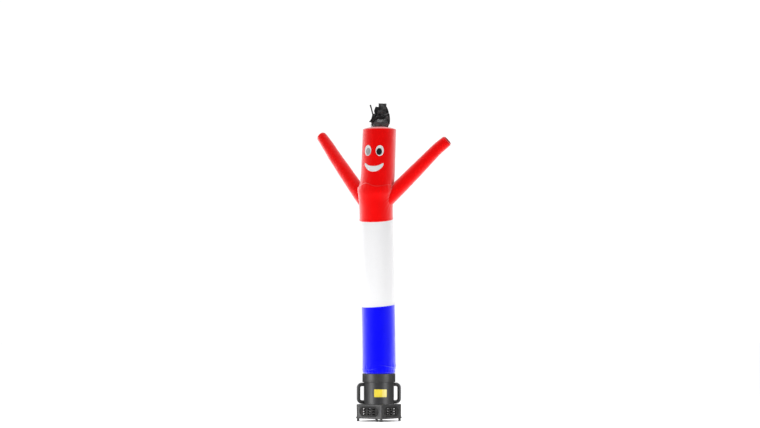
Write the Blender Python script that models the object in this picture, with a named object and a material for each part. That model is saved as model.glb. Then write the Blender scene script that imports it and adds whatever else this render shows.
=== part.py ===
"""Inflatable air dancer standing on its air blower.

The dancer is a tube of thin cloth in three sewn lengths, blue, white and red, with two open
sleeves for arms, a face of sewn-on patches and a tuft of black cloth on its crown. Its hem
slips over the blower's neck and is pinched there by a collar. The blower is a square plastic
housing on four feet, with a guard in each face, a round duct and two carrying handles.

Metres, +Z up. Bearings are degrees seen from above, counted from the front: 0 looks along -Y,
90 along +X. Shapes are made about the blower's axis, and the parent empty then moves them so
that the origin is the bottom centre of the whole object's box.
"""

import math
from collections import namedtuple

import bmesh
import bpy
from mathutils import Matrix, Vector

# What touches keeps this much air, and the cloth has this thickness
GAP = 0.0003
CLOTH = 0.0015
TUBE_SIDES = 36
SLEEVE_SIDES = 20
SHARP_ANGLE = math.radians(35)
SAME_PLACE = 0.00001

# Blower
FOOT_HEIGHT = 0.018
FOOT_RADIUS = 0.00725
FOOT_REACH = 0.142
WALL = 0.004
BOX_SIDE = 0.219
BOX_CORNER = 0.007
BOX_TOP = 0.112
TOP_EASE = 0.003
LIP_TOP = 0.030
LIP_EASE = 0.002
LIP_PROUD = 0.004
DUCT_RADIUS = 0.102
DUCT_TOP = 0.300
INLET_RADIUS = 0.096
COLLAR_BOTTOM = 0.263
COLLAR_TOP = 0.317
COLLAR_RADIUS = 0.1115
COLLAR_EASE = 0.002
GUARD_WIDTH = 0.162
GUARD_HEIGHT = 0.065
GUARD_MIDDLE = 0.065
GUARD_THICK = 0.003
GUARD_SET_BACK = 0.003
SLOT_COLUMNS = 4
SLOT_ROWS = 3
SLOT_WIDTH = 0.026
SLOT_HEIGHT = 0.010
SLOT_PITCH_ACROSS = 0.034
SLOT_PITCH_UP = 0.0165
GUARD_STEPS = 8
SLOT_STEPS = 3
HANDLE_BAR = 0.012
HANDLE_REACH = 0.1505
HANDLE_BOTTOM = 0.117
HANDLE_TOP = 0.260
HANDLE_BEND = 0.022
LABEL_WIDTH = 0.091
LABEL_HEIGHT = 0.056
LABEL_MIDDLE = 0.190
LABEL_THICK = 0.001

# Dancer
HEM_RADIUS = DUCT_RADIUS + GAP + CLOTH
TUBE_RADIUS = 0.1125
FACE_BEARING = -24.9
RIGHT_BEARING = 83.5
RIM_RADIUS = 0.1056
CROWN_RISE = 0.017
CROWN_GAP = 0.0006
PATCH = 0.0012
EYE_SPREAD = 21.75
EYE_HEIGHT = 1.821
EYE_WIDTH = 0.0540
EYE_TALL = 0.0705
PUPIL_WIDTH = 0.035
PUPIL_TALL = 0.044
PUPIL_DROP = 0.0068
PUPIL_SPREAD = 20.05
OVAL_MIDDLE = 0.04
MOUTH_BEARING = -24.0
MOUTH_HALF_ANGLE = 34.8
MOUTH_TIP = 1.7275
MOUTH_BOW = 2.2
MOUTH_BLUNT = 10
MOUTH_BOTTOM = 1.680
MOUTH_THICK = 0.035
MOUTH_TIP_THICK = 0.0175
MOUTH_COLUMNS = 18
MOUTH_END = 0.001
CROWN_SHARES = (1.0, 0.75, 0.5, 0.25)
TUFT_THICK = 0.005
RIBBON = 0.002
STRIP_TAPER = 0.25

# The tube's middle line and radius: it leans forward as it rises, and the head sits upright
Station = namedtuple("Station", "height x y radius")
BODY = (
    Station(0.268, 0.000, 0.000, HEM_RADIUS),
    Station(0.317, 0.000, 0.000, HEM_RADIUS),
    Station(0.329, 0.000, 0.000, 0.1090),
    Station(0.345, 0.001, 0.000, 0.1112),
    Station(0.400, 0.001, -0.001, TUBE_RADIUS),
    Station(0.550, -0.001, -0.005, TUBE_RADIUS),
    Station(0.783, -0.007, -0.019, TUBE_RADIUS),
    Station(1.050, -0.014, -0.047, TUBE_RADIUS),
    Station(1.356, -0.0275, -0.088, TUBE_RADIUS),
    Station(1.500, -0.0315, -0.113, 0.1132),
    Station(1.598, -0.027, -0.132, 0.1137),
    Station(1.660, -0.0215, -0.1305, 0.1137),
    Station(1.780, -0.0168, -0.1272, 0.1136),
    Station(1.930, -0.0109, -0.1230, 0.1134),
    Station(1.9675, -0.010, -0.122, 0.1130),
    Station(1.9715, -0.010, -0.122, 0.1121),
    Station(1.9743, -0.010, -0.122, 0.1102),
    Station(1.9760, -0.010, -0.122, 0.1079),
    Station(1.9768, -0.010, -0.122, RIM_RADIUS),
)

# Rings of the cloth: slant is how much higher a ring is on the right than in its middle
Ring = namedtuple("Ring", "height slant")
BLUE_RINGS = (
    Ring(0.2680, 0.000),
    Ring(0.3170, 0.000),
    Ring(0.3230, 0.000),
    Ring(0.3300, 0.002),
    Ring(0.3400, 0.006),
    Ring(0.3530, 0.012),
    Ring(0.3620, 0.017),
    Ring(0.3680, 0.019),
    Ring(0.3730, 0.020),
    Ring(0.3780, 0.020),
    Ring(0.3840, 0.019),
    Ring(0.3950, 0.017),
    Ring(0.4250, 0.014),
    Ring(0.5400, 0.010),
    Ring(0.6600, 0.008),
    Ring(0.7830, 0.007),
)
WHITE_RINGS = (
    Ring(0.7830, 0.007),
    Ring(0.9200, 0.006),
    Ring(1.0600, 0.005),
    Ring(1.2100, 0.004),
    Ring(1.3560, 0.003),
)
RED_RINGS = (
    Ring(1.3560, 0.003),
    Ring(1.4200, 0.002),
    Ring(1.4800, 0.000),
    Ring(1.5300, 0.000),
    Ring(1.5600, 0.000),
    Ring(1.5800, 0.000),
    Ring(1.5910, 0.000),
    Ring(1.5975, 0.000),
    Ring(1.6030, 0.000),
    Ring(1.6090, 0.000),
    Ring(1.6200, 0.000),
    Ring(1.6450, 0.000),
    Ring(1.6800, 0.000),
    Ring(1.7200, 0.000),
    Ring(1.7600, 0.000),
    Ring(1.8500, 0.000),
    Ring(1.9300, 0.000),
    Ring(1.9675, 0.000),
    Ring(1.9715, 0.000),
    Ring(1.9743, 0.000),
    Ring(1.9760, 0.000),
    Ring(1.9768, 0.000),
)

# Creases draw the cloth in and swells push it out: reach is outward, across is the half width
# up the tube, and spread is the half width round it, in degrees
Fold = namedtuple("Fold", "height slant reach across bearing spread")
FOLDS = (
    Fold(0.3800, 0.014, -0.0050, 0.0065, 60.0, 95.0),
    Fold(0.3660, 0.016, -0.0050, 0.0065, -70.0, 90.0),
    Fold(0.3530, 0.014, 0.0035, 0.0110, 70.0, 70.0),
    Fold(0.3860, 0.016, 0.0020, 0.0110, -70.0, 80.0),
    Fold(0.3740, 0.020, -0.0030, 0.0070, 170.0, 90.0),
    Fold(1.6030, 0.000, -0.0060, 0.0070, -20.0, 170.0),
    Fold(1.5600, 0.000, 0.0150, 0.0330, -78.0, 75.0),
    Fold(1.5700, 0.000, 0.0060, 0.0220, 20.0, 70.0),
    Fold(1.5080, 0.000, 0.0070, 0.0400, -66.0, 60.0),
)

# Middle line and radius of each open sleeve, from the shoulder to its end
Sleeve = namedtuple("Sleeve", "x y z radius")
Mark = namedtuple("Mark", "along x y z radius")
SLEEVES = {
    "arm_left": (
        Sleeve(-0.132, -0.064, 1.535, 0.0495),
        Sleeve(-0.212, 0.014, 1.666, 0.0465),
        Sleeve(-0.285, 0.087, 1.787, 0.0425),
        Sleeve(-0.352, 0.158, 1.905, 0.0378),
        Sleeve(-0.370, 0.1732, 1.9327, 0.0362),
        Sleeve(-0.378, 0.180, 1.945, 0.0325),
    ),
    "arm_right": (
        Sleeve(0.069, -0.163, 1.529, 0.0495),
        Sleeve(0.149, -0.200, 1.612, 0.0478),
        Sleeve(0.254, -0.250, 1.722, 0.0440),
        Sleeve(0.359, -0.299, 1.832, 0.0396),
        Sleeve(0.416, -0.3233, 1.8831, 0.0368),
        Sleeve(0.427, -0.328, 1.893, 0.0325),
    ),
}
SLEEVE_START = 0.080
SLEEVE_ROWS = 8
BORE_PAST_WALL = 0.050
BORE_INSET = 0.0025
SHOULDER_BOTTOM = 1.400
SHOULDER_TOP = 1.800

# Hair strips on the crown: root place and tip offset from it, both right and towards the front,
# swing is the sideways buckle part way up, and ripple a smaller zigzag
Strip = namedtuple(
    "Strip", "right front tall tip_right tip_front width turn swing swing_front at ripple"
)
STRIPS = (
    Strip(-0.034, 0.002, 0.146, -0.038, 0.008, 0.024, 62, 0.012, 0.008, 0.5, 0.003),
    Strip(-0.034, 0.026, 0.082, 0.006, 0.004, 0.034, 50, -0.034, 0.004, 0.5, 0.000),
    Strip(-0.016, 0.040, 0.104, -0.004, -0.014, 0.040, 15, -0.006, 0.016, 0.3, 0.004),
    Strip(0.026, 0.036, 0.092, 0.006, -0.012, 0.034, -25, 0.010, 0.018, 0.4, 0.005),
    Strip(0.048, 0.008, 0.138, -0.012, 0.004, 0.032, -70, 0.020, 0.004, 0.3, 0.007),
    Strip(0.036, -0.032, 0.100, 0.004, -0.004, 0.034, -130, 0.014, -0.010, 0.4, 0.004),
    Strip(-0.002, -0.046, 0.120, -0.006, 0.006, 0.036, 180, 0.000, -0.014, 0.4, 0.004),
    Strip(-0.036, -0.034, 0.094, -0.004, 0.004, 0.034, 130, -0.014, -0.008, 0.4, 0.005),
    Strip(-0.018, 0.008, 0.128, -0.004, 0.006, 0.032, 10, -0.004, 0.006, 0.4, 0.003),
    Strip(0.014, 0.010, 0.154, -0.006, 0.010, 0.030, -12, 0.004, 0.006, 0.5, 0.004),
    Strip(0.018, -0.018, 0.142, 0.012, -0.006, 0.028, -150, 0.004, -0.004, 0.5, 0.005),
    Strip(-0.016, -0.020, 0.112, -0.008, -0.006, 0.028, 150, -0.004, -0.004, 0.5, 0.004),
)
STRIP_STEPS = 7

# Colour, roughness and metallic value of each material
FINISHES = {
    "red_cloth": ((0.84, 0.005, 0.005), 0.55, 0.0),
    "white_cloth": ((0.88, 0.88, 0.88), 0.6, 0.0),
    "blue_cloth": ((0.005, 0.005, 0.84), 0.55, 0.0),
    "black_cloth": ((0.012, 0.012, 0.013), 0.6, 0.0),
    "grey_print": ((0.33, 0.33, 0.33), 0.6, 0.0),
    "grey_plastic": ((0.085, 0.085, 0.085), 0.45, 0.0),
    "dark_plastic": ((0.045, 0.045, 0.045), 0.5, 0.0),
    "yellow_film": ((0.95, 0.83, 0.05), 0.35, 0.0),
}


def bearing_to(degrees):
    """Level unit vector towards a bearing."""
    angle = math.radians(degrees)
    return Vector((math.sin(angle), -math.cos(angle), 0.0))


def make_finish(name):
    """Principled material from the table."""
    colour, roughness, metallic = FINISHES[name]
    material = bpy.data.materials.new(name)
    material.use_nodes = True
    shader = material.node_tree.nodes["Principled BSDF"]
    shader.inputs["Base Color"].default_value = (*colour, 1.0)
    shader.inputs["Roughness"].default_value = roughness
    shader.inputs["Metallic"].default_value = metallic
    return material


def add_object(name, mesh, finish, smooth=True):
    """Object for a mesh, under the parent empty, with its finish."""
    if smooth:
        mesh.shade_smooth()
        mesh.set_sharp_from_angle(angle=SHARP_ANGLE)
    piece = bpy.data.objects.new(name, mesh)
    piece.parent = STAND
    if not mesh.materials:
        mesh.materials.append(FINISH[finish])
    bpy.context.collection.objects.link(piece)
    return piece


def add_cutter(name, mesh):
    """Object that only cuts others: drawn as wire and left out of renders."""
    cutter = bpy.data.objects.new(name, mesh)
    cutter.parent = STAND
    cutter.hide_render = True
    cutter.display_type = "WIRE"
    bpy.context.collection.objects.link(cutter)
    return cutter


def cut(piece, cutter, operation="DIFFERENCE"):
    """Boolean with the exact solver."""
    step = piece.modifiers.new(cutter.name, "BOOLEAN")
    step.operation = operation
    step.solver = "EXACT"
    step.object = cutter
    return step


def thicken(piece, thickness, offset):
    """Sheet with a real thickness; offset -1 grows inwards and 1 outwards."""
    step = piece.modifiers.new("thickness", "SOLIDIFY")
    step.thickness = thickness
    step.offset = offset
    return step


def loft(name, rings, caps=False, wrap=True):
    """Mesh through rows of points, each row with as many points. The rows run anticlockwise
    as seen from where the later rows lie, so that the faces point out."""
    count = len(rings[0])
    points = [point for ring in rings for point in ring]
    steps = count if wrap else count - 1
    faces = []
    for row in range(len(rings) - 1):
        for column in range(steps):
            first = row * count + column
            second = row * count + (column + 1) % count
            faces.append((first, second, second + count, first + count))
    if caps:
        last = (len(rings) - 1) * count
        faces.append(tuple(reversed(range(count))))
        faces.append(tuple(last + column for column in range(count)))
    mesh = bpy.data.meshes.new(name)
    mesh.from_pydata(points, [], faces)
    mesh.update()
    return mesh


def join_meshes(name, meshes):
    """One mesh that holds several, each still a body of its own."""
    build = bmesh.new()
    for mesh in meshes:
        build.from_mesh(mesh)
    joined = bpy.data.meshes.new(name)
    build.to_mesh(joined)
    build.free()
    return joined


def smooth_read(rows, at, key):
    """Row at a value of its key column, on a smooth curve through the table's rows that never
    swings past them."""
    marks = [getattr(row, key) for row in rows]
    at = min(max(at, marks[0]), marks[-1])
    index = 0
    while index < len(rows) - 2 and at > marks[index + 1]:
        index += 1

    def secant(place, column):
        return (rows[place + 1][column] - rows[place][column]) / (marks[place + 1] - marks[place])

    def slope(place, column):
        if place == 0:
            return secant(0, column)
        if place == len(rows) - 1:
            return secant(place - 1, column)
        before, after = secant(place - 1, column), secant(place, column)
        if before * after <= 0:
            return 0.0
        return 2 * before * after / (before + after)

    span = marks[index + 1] - marks[index]
    share = (at - marks[index]) / span
    low, high = rows[index], rows[index + 1]
    values = []
    for column in range(len(low)):
        values.append(
            low[column] * (2 * share**3 - 3 * share**2 + 1)
            + high[column] * (3 * share**2 - 2 * share**3)
            + slope(index, column) * span * (share**3 - 2 * share**2 + share)
            + slope(index + 1, column) * span * (share**3 - share**2)
        )
    return type(low)(*values)


def slanted(height, slant, bearing):
    """Height of a slanted line round the tube at a bearing."""
    return height + slant * math.cos(math.radians(bearing - RIGHT_BEARING))


def fold_reach(height, bearing):
    """How far the folds push the cloth out, or draw it in, at one place."""
    total = 0.0
    for fold in FOLDS:
        off_line = (height - slanted(fold.height, fold.slant, bearing)) / fold.across
        turn = abs((bearing - fold.bearing + 180.0) % 360.0 - 180.0) / fold.spread
        if abs(off_line) < 3.0 and turn < 1.0:
            total += fold.reach * math.exp(-(off_line**2)) * math.cos(turn * math.pi / 2) ** 2
    return total


def body_frame(height):
    """Middle of the tube at a height, and its own front, side and upward directions."""
    step = 0.001
    low = smooth_read(BODY, height - step, "height")
    here = smooth_read(BODY, height, "height")
    high = smooth_read(BODY, height + step, "height")
    up = Vector((high.x - low.x, high.y - low.y, high.height - low.height)).normalized()
    front = (bearing_to(0) - up * up.dot(bearing_to(0))).normalized()
    side = up.cross(front)
    return Vector((here.x, here.y, here.height)), front, side, up, here.radius


def body_point(height, bearing, offset=0.0):
    """Point on the tube's outer face, moved out by offset."""
    middle, front, side, _, radius = body_frame(height)
    angle = math.radians(bearing)
    reach = radius + offset + fold_reach(height, bearing)
    return middle + reach * (math.cos(angle) * front + math.sin(angle) * side)


def round_bearings(count=TUBE_SIDES):
    """Even bearings all the way round."""
    return [360.0 * place / count for place in range(count)]


def body_rings(rings, offset=0.0):
    """Rows of points round the tube for a table of rings."""
    return [
        [body_point(slanted(ring.height, ring.slant, bearing), bearing, offset)
         for bearing in round_bearings()]
        for ring in rings
    ]


def seam_parted(rings, at_bottom, at_top):
    """The same rings, drawn back by half the air gap at each end that meets another length."""
    rings = list(rings)
    if at_bottom:
        rings[0] = rings[0]._replace(height=rings[0].height + GAP / 2)
    if at_top:
        rings[-1] = rings[-1]._replace(height=rings[-1].height - GAP / 2)
    return rings


def make_length(name, rings, finish, at_bottom, at_top):
    """One sewn length of the tube, open at both ends."""
    mesh = loft(name, body_rings(seam_parted(rings, at_bottom, at_top)))
    piece = add_object(name, mesh, finish)
    thicken(piece, CLOTH, -1.0)
    return piece


def sleeve_path(rows):
    """Middle line of a sleeve, from inside the body to its end, with the radius at each place."""
    line = [Vector((row.x, row.y, row.z)) for row in rows]
    lengths = [0.0]
    for before, after in zip(line, line[1:]):
        lengths.append(lengths[-1] + (after - before).length)
    marks = [Mark(along, *row) for along, row in zip(lengths, rows)]
    inward = (line[0] - line[1]).normalized() * SLEEVE_START
    start = marks[0]._replace(
        along=-SLEEVE_START,
        x=marks[0].x + inward.x,
        y=marks[0].y + inward.y,
        z=marks[0].z + inward.z,
    )
    return [start, *marks]


def sweep_rings(points, radii, sides):
    """Rings along a path, turned as little as possible from one to the next."""
    rings = []
    across = None
    for place, point in enumerate(points):
        before = points[max(place - 1, 0)]
        after = points[min(place + 1, len(points) - 1)]
        along = (after - before).normalized()
        if across is None:
            across = along.orthogonal()
        across = (across - along * along.dot(across)).normalized()
        other = along.cross(across)
        rings.append([
            point + radii[place] * (
                math.cos(2 * math.pi * side / sides) * across
                + math.sin(2 * math.pi * side / sides) * other
            )
            for side in range(sides)
        ])
    return rings


def sleeve_rings(rows, first, last, count, inset=0.0):
    """Rings of a sleeve between two lengths along it."""
    marks = sleeve_path(rows)
    points, radii = [], []
    for step in range(count + 1):
        here = smooth_read(marks, first + (last - first) * step / count, "along")
        points.append(Vector((here.x, here.y, here.z)))
        radii.append(here.radius - inset)
    return sweep_rings(points, radii, SLEEVE_SIDES)


def make_body():
    """The three sewn lengths, with the arm holes cut in the red one, and the two sleeves."""
    make_length("blue_length", BLUE_RINGS, "blue_cloth", False, True)
    make_length("white_length", WHITE_RINGS, "white_cloth", True, True)
    red = make_length("red_length", RED_RINGS, "red_cloth", True, False)

    shoulder_rings = [ring for ring in RED_RINGS if SHOULDER_BOTTOM < ring.height < SHOULDER_TOP]
    shoulder = add_cutter(
        "shoulder_room", loft("shoulder_room", body_rings(shoulder_rings, GAP), caps=True)
    )
    for name, rows in SLEEVES.items():
        length = sleeve_path(rows)[-1].along
        mesh = loft(name, sleeve_rings(rows, -SLEEVE_START, length, SLEEVE_ROWS))
        sleeve = add_object(name, mesh, "red_cloth")
        thicken(sleeve, CLOTH, -1.0)
        cut(sleeve, shoulder)
        bore_rings = sleeve_rings(rows, -SLEEVE_START, BORE_PAST_WALL, 3, BORE_INSET)
        cut(red, add_cutter(name + "_hole", loft(name + "_hole", bore_rings, caps=True)))


def crown_point(bearing, share, offset=0.0):
    """Point of the crown's outer face; share runs from the middle, 0, to the rim, 1."""
    middle, front, side, up, _ = body_frame(BODY[-1].height)
    angle = math.radians(bearing)
    outward = math.cos(angle) * front + math.sin(angle) * side
    rise = CROWN_RISE * (1.0 - share**2)
    return middle + outward * (RIM_RADIUS - CROWN_GAP) * share + up * (rise + offset)


def crown_mesh(name, shares, offset=0.0):
    """Domed round sheet, from its edge to a point in the middle."""
    rings = [
        [crown_point(bearing, share, offset) for bearing in round_bearings()] for share in shares
    ]
    build = bmesh.new()
    build.from_mesh(loft(name, rings))
    build.verts.ensure_lookup_table()
    inner = build.verts[-TUBE_SIDES:]
    tip = build.verts.new(crown_point(0.0, 0.0, offset))
    for here, after in zip(inner, inner[1:] + inner[:1]):
        build.faces.new((here, after, tip))
    mesh = bpy.data.meshes.new(name)
    build.to_mesh(mesh)
    build.free()
    return mesh


def make_crown():
    """Round piece of red cloth sewn into the head's rim."""
    crown = add_object("crown", crown_mesh("crown", CROWN_SHARES), "red_cloth")
    thicken(crown, CLOTH, -1.0)


def strip_path(strip):
    """Middle line of a hair strip, as offsets right, front and up from the crown's middle."""
    points = []
    for step in range(STRIP_STEPS + 1):
        share = step / STRIP_STEPS
        buckle = share / strip.at if share < strip.at else (1.0 - share) / (1.0 - strip.at)
        zigzag = strip.ripple * (-1) ** step * min(1.0, 3 * share)
        points.append((
            strip.right + strip.tip_right * share + strip.swing * buckle,
            strip.front + strip.tip_front * share + strip.swing_front * buckle + zigzag,
            strip.tall * share,
        ))
    return points


def root_sink(strip):
    """How far the crown has fallen away, at its highest point under a strip's root."""
    flat = math.radians(strip.turn)
    reaches = []
    for part in (-0.5, -0.25, 0.0, 0.25, 0.5):
        right = strip.right + part * strip.width * math.cos(flat)
        front = strip.front - part * strip.width * math.sin(flat)
        reaches.append(right**2 + front**2)
    return CROWN_RISE * min(reaches) / RIM_RADIUS**2


def strip_mesh(name, strip):
    """Closed flat strip of cloth standing on the crown."""
    middle, front, side, up, _ = body_frame(BODY[-1].height)
    base = middle + up * (CROWN_RISE + TUFT_THICK / 2)
    sink = root_sink(strip)
    flat = math.radians(strip.turn)
    across = math.cos(flat) * side - math.sin(flat) * front
    face = math.sin(flat) * side + math.cos(flat) * front
    rings = []
    for right, forward, rise in strip_path(strip):
        share = rise / strip.tall
        here = base + side * right + front * forward + up * (rise - sink * (1.0 - share))
        reach = across * strip.width / 2 * (1.0 - STRIP_TAPER * share)
        thick = face * RIBBON / 2
        rings.append([here - reach + thick, here - reach - thick,
                      here + reach - thick, here + reach + thick])
    return loft(name, rings, caps=True)


def make_tuft():
    """Hair strips with their roots fused in one round patch on the crown."""
    patch = crown_mesh("hair", CROWN_SHARES[2:], GAP)
    tuft = add_object("hair", patch, "black_cloth")
    thicken(tuft, TUFT_THICK, 1.0)
    for place, strip in enumerate(STRIPS):
        name = f"hair_strip_{place + 1}"
        cut(tuft, add_cutter(name, strip_mesh(name, strip)), "UNION")


def patch_piece(name, rows, offset, finish, wrap):
    """Patch lying on the head: rows of (bearing, height) pairs, with its own thickness."""
    rings = [[body_point(height, bearing, offset) for bearing, height in row] for row in rows]
    piece = add_object(name, loft(name, rings, wrap=wrap), finish)
    thicken(piece, PATCH, 1.0)
    return piece


def head_degrees(width):
    """Angle round the head that a width of cloth covers."""
    return math.degrees(width / smooth_read(BODY, EYE_HEIGHT, "height").radius)


def oval_rows(bearing, height, width, tall, sides, rows):
    """Rows of an oval, from a small one in its middle out to its edge."""
    table = []
    for row in range(rows + 1):
        share = max(row / rows, OVAL_MIDDLE)
        table.append([
            (
                bearing + share * head_degrees(width) / 2 * math.sin(2 * math.pi * side / sides),
                height - share * tall / 2 * math.cos(2 * math.pi * side / sides),
            )
            for side in range(sides)
        ])
    return table


def fill_hole(mesh):
    """Close the small opening in the middle of an oval with one face."""
    build = bmesh.new()
    build.from_mesh(mesh)
    edges = [edge for edge in build.edges if edge.is_boundary]
    inner = min(edges, key=lambda edge: edge.calc_length())
    limit = inner.calc_length() * 3
    bmesh.ops.holes_fill(build, edges=[e for e in edges if e.calc_length() < limit], sides=0)
    bmesh.ops.recalc_face_normals(build, faces=build.faces)
    build.to_mesh(mesh)
    build.free()


def make_oval(name, bearing, height, width, tall, offset, finish, sides, rows):
    """Oval patch with a closed middle."""
    piece = patch_piece(
        name, oval_rows(bearing, height, width, tall, sides, rows), offset, finish, True
    )
    fill_hole(piece.data)
    return piece


def make_face():
    """Two eyes, each with a pupil on it, and a smiling mouth, all cut from thin cloth."""
    for side, name, pupil_finish in ((-1, "left", "grey_print"), (1, "right", "black_cloth")):
        make_oval("eye_" + name, FACE_BEARING + side * EYE_SPREAD, EYE_HEIGHT,
                  EYE_WIDTH, EYE_TALL, GAP, "white_cloth", 20, 3)
        make_oval("pupil_" + name, FACE_BEARING + side * PUPIL_SPREAD, EYE_HEIGHT - PUPIL_DROP,
                  PUPIL_WIDTH, PUPIL_TALL, GAP + PATCH + GAP, pupil_finish, 16, 2)
    rows = [[] for _ in range(4)]
    for column in range(MOUTH_COLUMNS + 1):
        share = -math.cos(math.pi * column / MOUTH_COLUMNS)
        round_end = math.sqrt(max(0.0, 1.0 - abs(share) ** MOUTH_BLUNT))
        full = MOUTH_TIP_THICK + (MOUTH_THICK - MOUTH_TIP_THICK) * (1.0 - share**2)
        low = MOUTH_BOTTOM + (MOUTH_TIP - MOUTH_BOTTOM) * abs(share) ** MOUTH_BOW
        low += full * (1.0 - round_end) / 2
        thick = max(full * round_end, MOUTH_END)
        for line, row in enumerate(rows):
            bearing = MOUTH_BEARING + MOUTH_HALF_ANGLE * share
            row.append((bearing, low + thick * line / (len(rows) - 1)))
    patch_piece("mouth", rows, GAP, "white_cloth", False)


def ring_mesh(name, outline):
    """Turned ring from an outline of (radius, height) pairs, listed outer side upwards and then
    down the inner side."""
    rings = [
        [bearing_to(bearing) * radius + Vector((0, 0, height)) for bearing in round_bearings()]
        for radius, height in (*outline, outline[0])
    ]
    build = bmesh.new()
    build.from_mesh(loft(name, rings))
    bmesh.ops.remove_doubles(build, verts=build.verts, dist=SAME_PLACE)
    mesh = bpy.data.meshes.new(name)
    build.to_mesh(mesh)
    build.free()
    return mesh


def round_plug(name, radius, bottom, top, sides=TUBE_SIDES):
    """Closed upright cylinder."""
    rings = [
        [bearing_to(bearing) * radius + Vector((0, 0, height))
         for bearing in round_bearings(sides)]
        for height in (bottom, top)
    ]
    return loft(name, rings, caps=True)


def rounded_square(side, corner, height):
    """Points of a square with rounded corners that point along X and Y."""
    points = []
    for quarter in range(4):
        middle = bearing_to(90.0 * quarter) * (side / 2 - corner) * math.sqrt(2)
        for step in range(5):
            turn = 90.0 * quarter - 45.0 + 90.0 * step / 4
            points.append(middle + bearing_to(turn) * corner + Vector((0, 0, height)))
    return points


def stadium_outline(width, height, steps, right=0.0, up=0.0):
    """Upright outline with half-round ends, in the X-Z plane, round a middle point."""
    outline = []
    for end in (1, -1):
        for step in range(steps + 1):
            angle = math.radians(180.0 * step / steps - 90.0)
            outline.append((
                right + end * (width / 2 - height / 2 + height / 2 * math.cos(angle)),
                up + end * height / 2 * math.sin(angle),
            ))
    return outline


def slab(name, outline, holes, thickness):
    """Closed flat plate with an outline and holes, standing in the X-Z plane."""
    build = bmesh.new()
    edges = []
    for loop in (outline, *holes):
        corners = [build.verts.new((x, -thickness / 2, z)) for x, z in loop]
        for here, after in zip(corners, corners[1:] + corners[:1]):
            edges.append(build.edges.new((here, after)))
    bmesh.ops.triangle_fill(build, edges=edges, use_beauty=True)
    grown = bmesh.ops.extrude_face_region(build, geom=list(build.faces))
    moved = [item for item in grown["geom"] if isinstance(item, bmesh.types.BMVert)]
    bmesh.ops.translate(build, verts=moved, vec=(0.0, thickness, 0.0))
    bmesh.ops.recalc_face_normals(build, faces=build.faces)
    mesh = bpy.data.meshes.new(name)
    build.to_mesh(mesh)
    build.free()
    return mesh


def on_face(bearing, depth, height):
    """Place of a slab in one of the housing's four faces, looking along a bearing."""
    turn = Matrix.Rotation(math.radians(bearing), 4, "Z")
    return turn @ Matrix.Translation(Vector((0, -depth, height)))


FACE_BEARINGS = (45.0, 135.0, 225.0, 315.0)


def make_housing():
    """Square hollow housing with a lip round its foot, a round hole in its top and an opening
    with half-round ends in each face."""
    lip_side = BOX_SIDE + 2 * LIP_PROUD
    levels = (
        (lip_side, FOOT_HEIGHT),
        (lip_side, LIP_TOP - LIP_EASE),
        (BOX_SIDE, LIP_TOP),
        (BOX_SIDE, BOX_TOP - TOP_EASE),
        (BOX_SIDE - 2 * TOP_EASE, BOX_TOP),
    )
    shell = [rounded_square(side, BOX_CORNER, height) for side, height in levels]
    housing = add_object("housing", loft("housing", shell, caps=True), "grey_plastic")

    inside = [
        rounded_square(BOX_SIDE - 2 * WALL, BOX_CORNER - WALL, height)
        for height in (FOOT_HEIGHT + WALL, BOX_TOP - WALL)
    ]
    cut(housing, add_cutter("housing_inside", loft("housing_inside", inside, caps=True)))
    cut(housing, add_cutter(
        "outlet_hole", round_plug("outlet_hole", INLET_RADIUS, BOX_TOP - 3 * WALL, BOX_TOP + WALL)
    ))
    windows = []
    for bearing in FACE_BEARINGS:
        outline = stadium_outline(GUARD_WIDTH + 2 * GAP, GUARD_HEIGHT + 2 * GAP, GUARD_STEPS)
        window = slab("window", outline, (), 6 * WALL)
        window.transform(on_face(bearing, BOX_SIDE / 2, GUARD_MIDDLE))
        windows.append(window)
    cut(housing, add_cutter("guard_windows", join_meshes("guard_windows", windows)))


def make_guards():
    """A slotted plate in each face of the housing."""
    slots = [
        stadium_outline(
            SLOT_WIDTH, SLOT_HEIGHT, SLOT_STEPS,
            (column - (SLOT_COLUMNS - 1) / 2) * SLOT_PITCH_ACROSS,
            (row - (SLOT_ROWS - 1) / 2) * SLOT_PITCH_UP,
        )
        for column in range(SLOT_COLUMNS)
        for row in range(SLOT_ROWS)
    ]
    outline = stadium_outline(GUARD_WIDTH, GUARD_HEIGHT, GUARD_STEPS)
    plate = slab("guard", outline, slots, GUARD_THICK)
    for place, bearing in enumerate(FACE_BEARINGS):
        guard = add_object(f"guard_{place + 1}", plate, "dark_plastic")
        guard.matrix_local = on_face(
            bearing, BOX_SIDE / 2 - GUARD_SET_BACK - GUARD_THICK / 2, GUARD_MIDDLE
        )


def make_duct():
    """Round duct on the housing, open at both ends, and the collar that pinches the hem."""
    duct = (
        (DUCT_RADIUS, BOX_TOP + GAP),
        (DUCT_RADIUS, DUCT_TOP),
        (DUCT_RADIUS - WALL, DUCT_TOP),
        (DUCT_RADIUS - WALL, BOX_TOP + GAP),
    )
    add_object("duct", ring_mesh("duct", duct), "grey_plastic")
    inner = DUCT_RADIUS + GAP + CLOTH + GAP
    collar = (
        (COLLAR_RADIUS - 2 * COLLAR_EASE, COLLAR_BOTTOM),
        (COLLAR_RADIUS - COLLAR_EASE / 2, COLLAR_BOTTOM + COLLAR_EASE),
        (COLLAR_RADIUS, COLLAR_BOTTOM + 3 * COLLAR_EASE),
        (COLLAR_RADIUS, COLLAR_TOP - COLLAR_EASE),
        (COLLAR_RADIUS - COLLAR_EASE, COLLAR_TOP),
        (inner, COLLAR_TOP),
        (inner, COLLAR_BOTTOM),
    )
    add_object("collar", ring_mesh("collar", collar), "dark_plastic")


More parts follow.
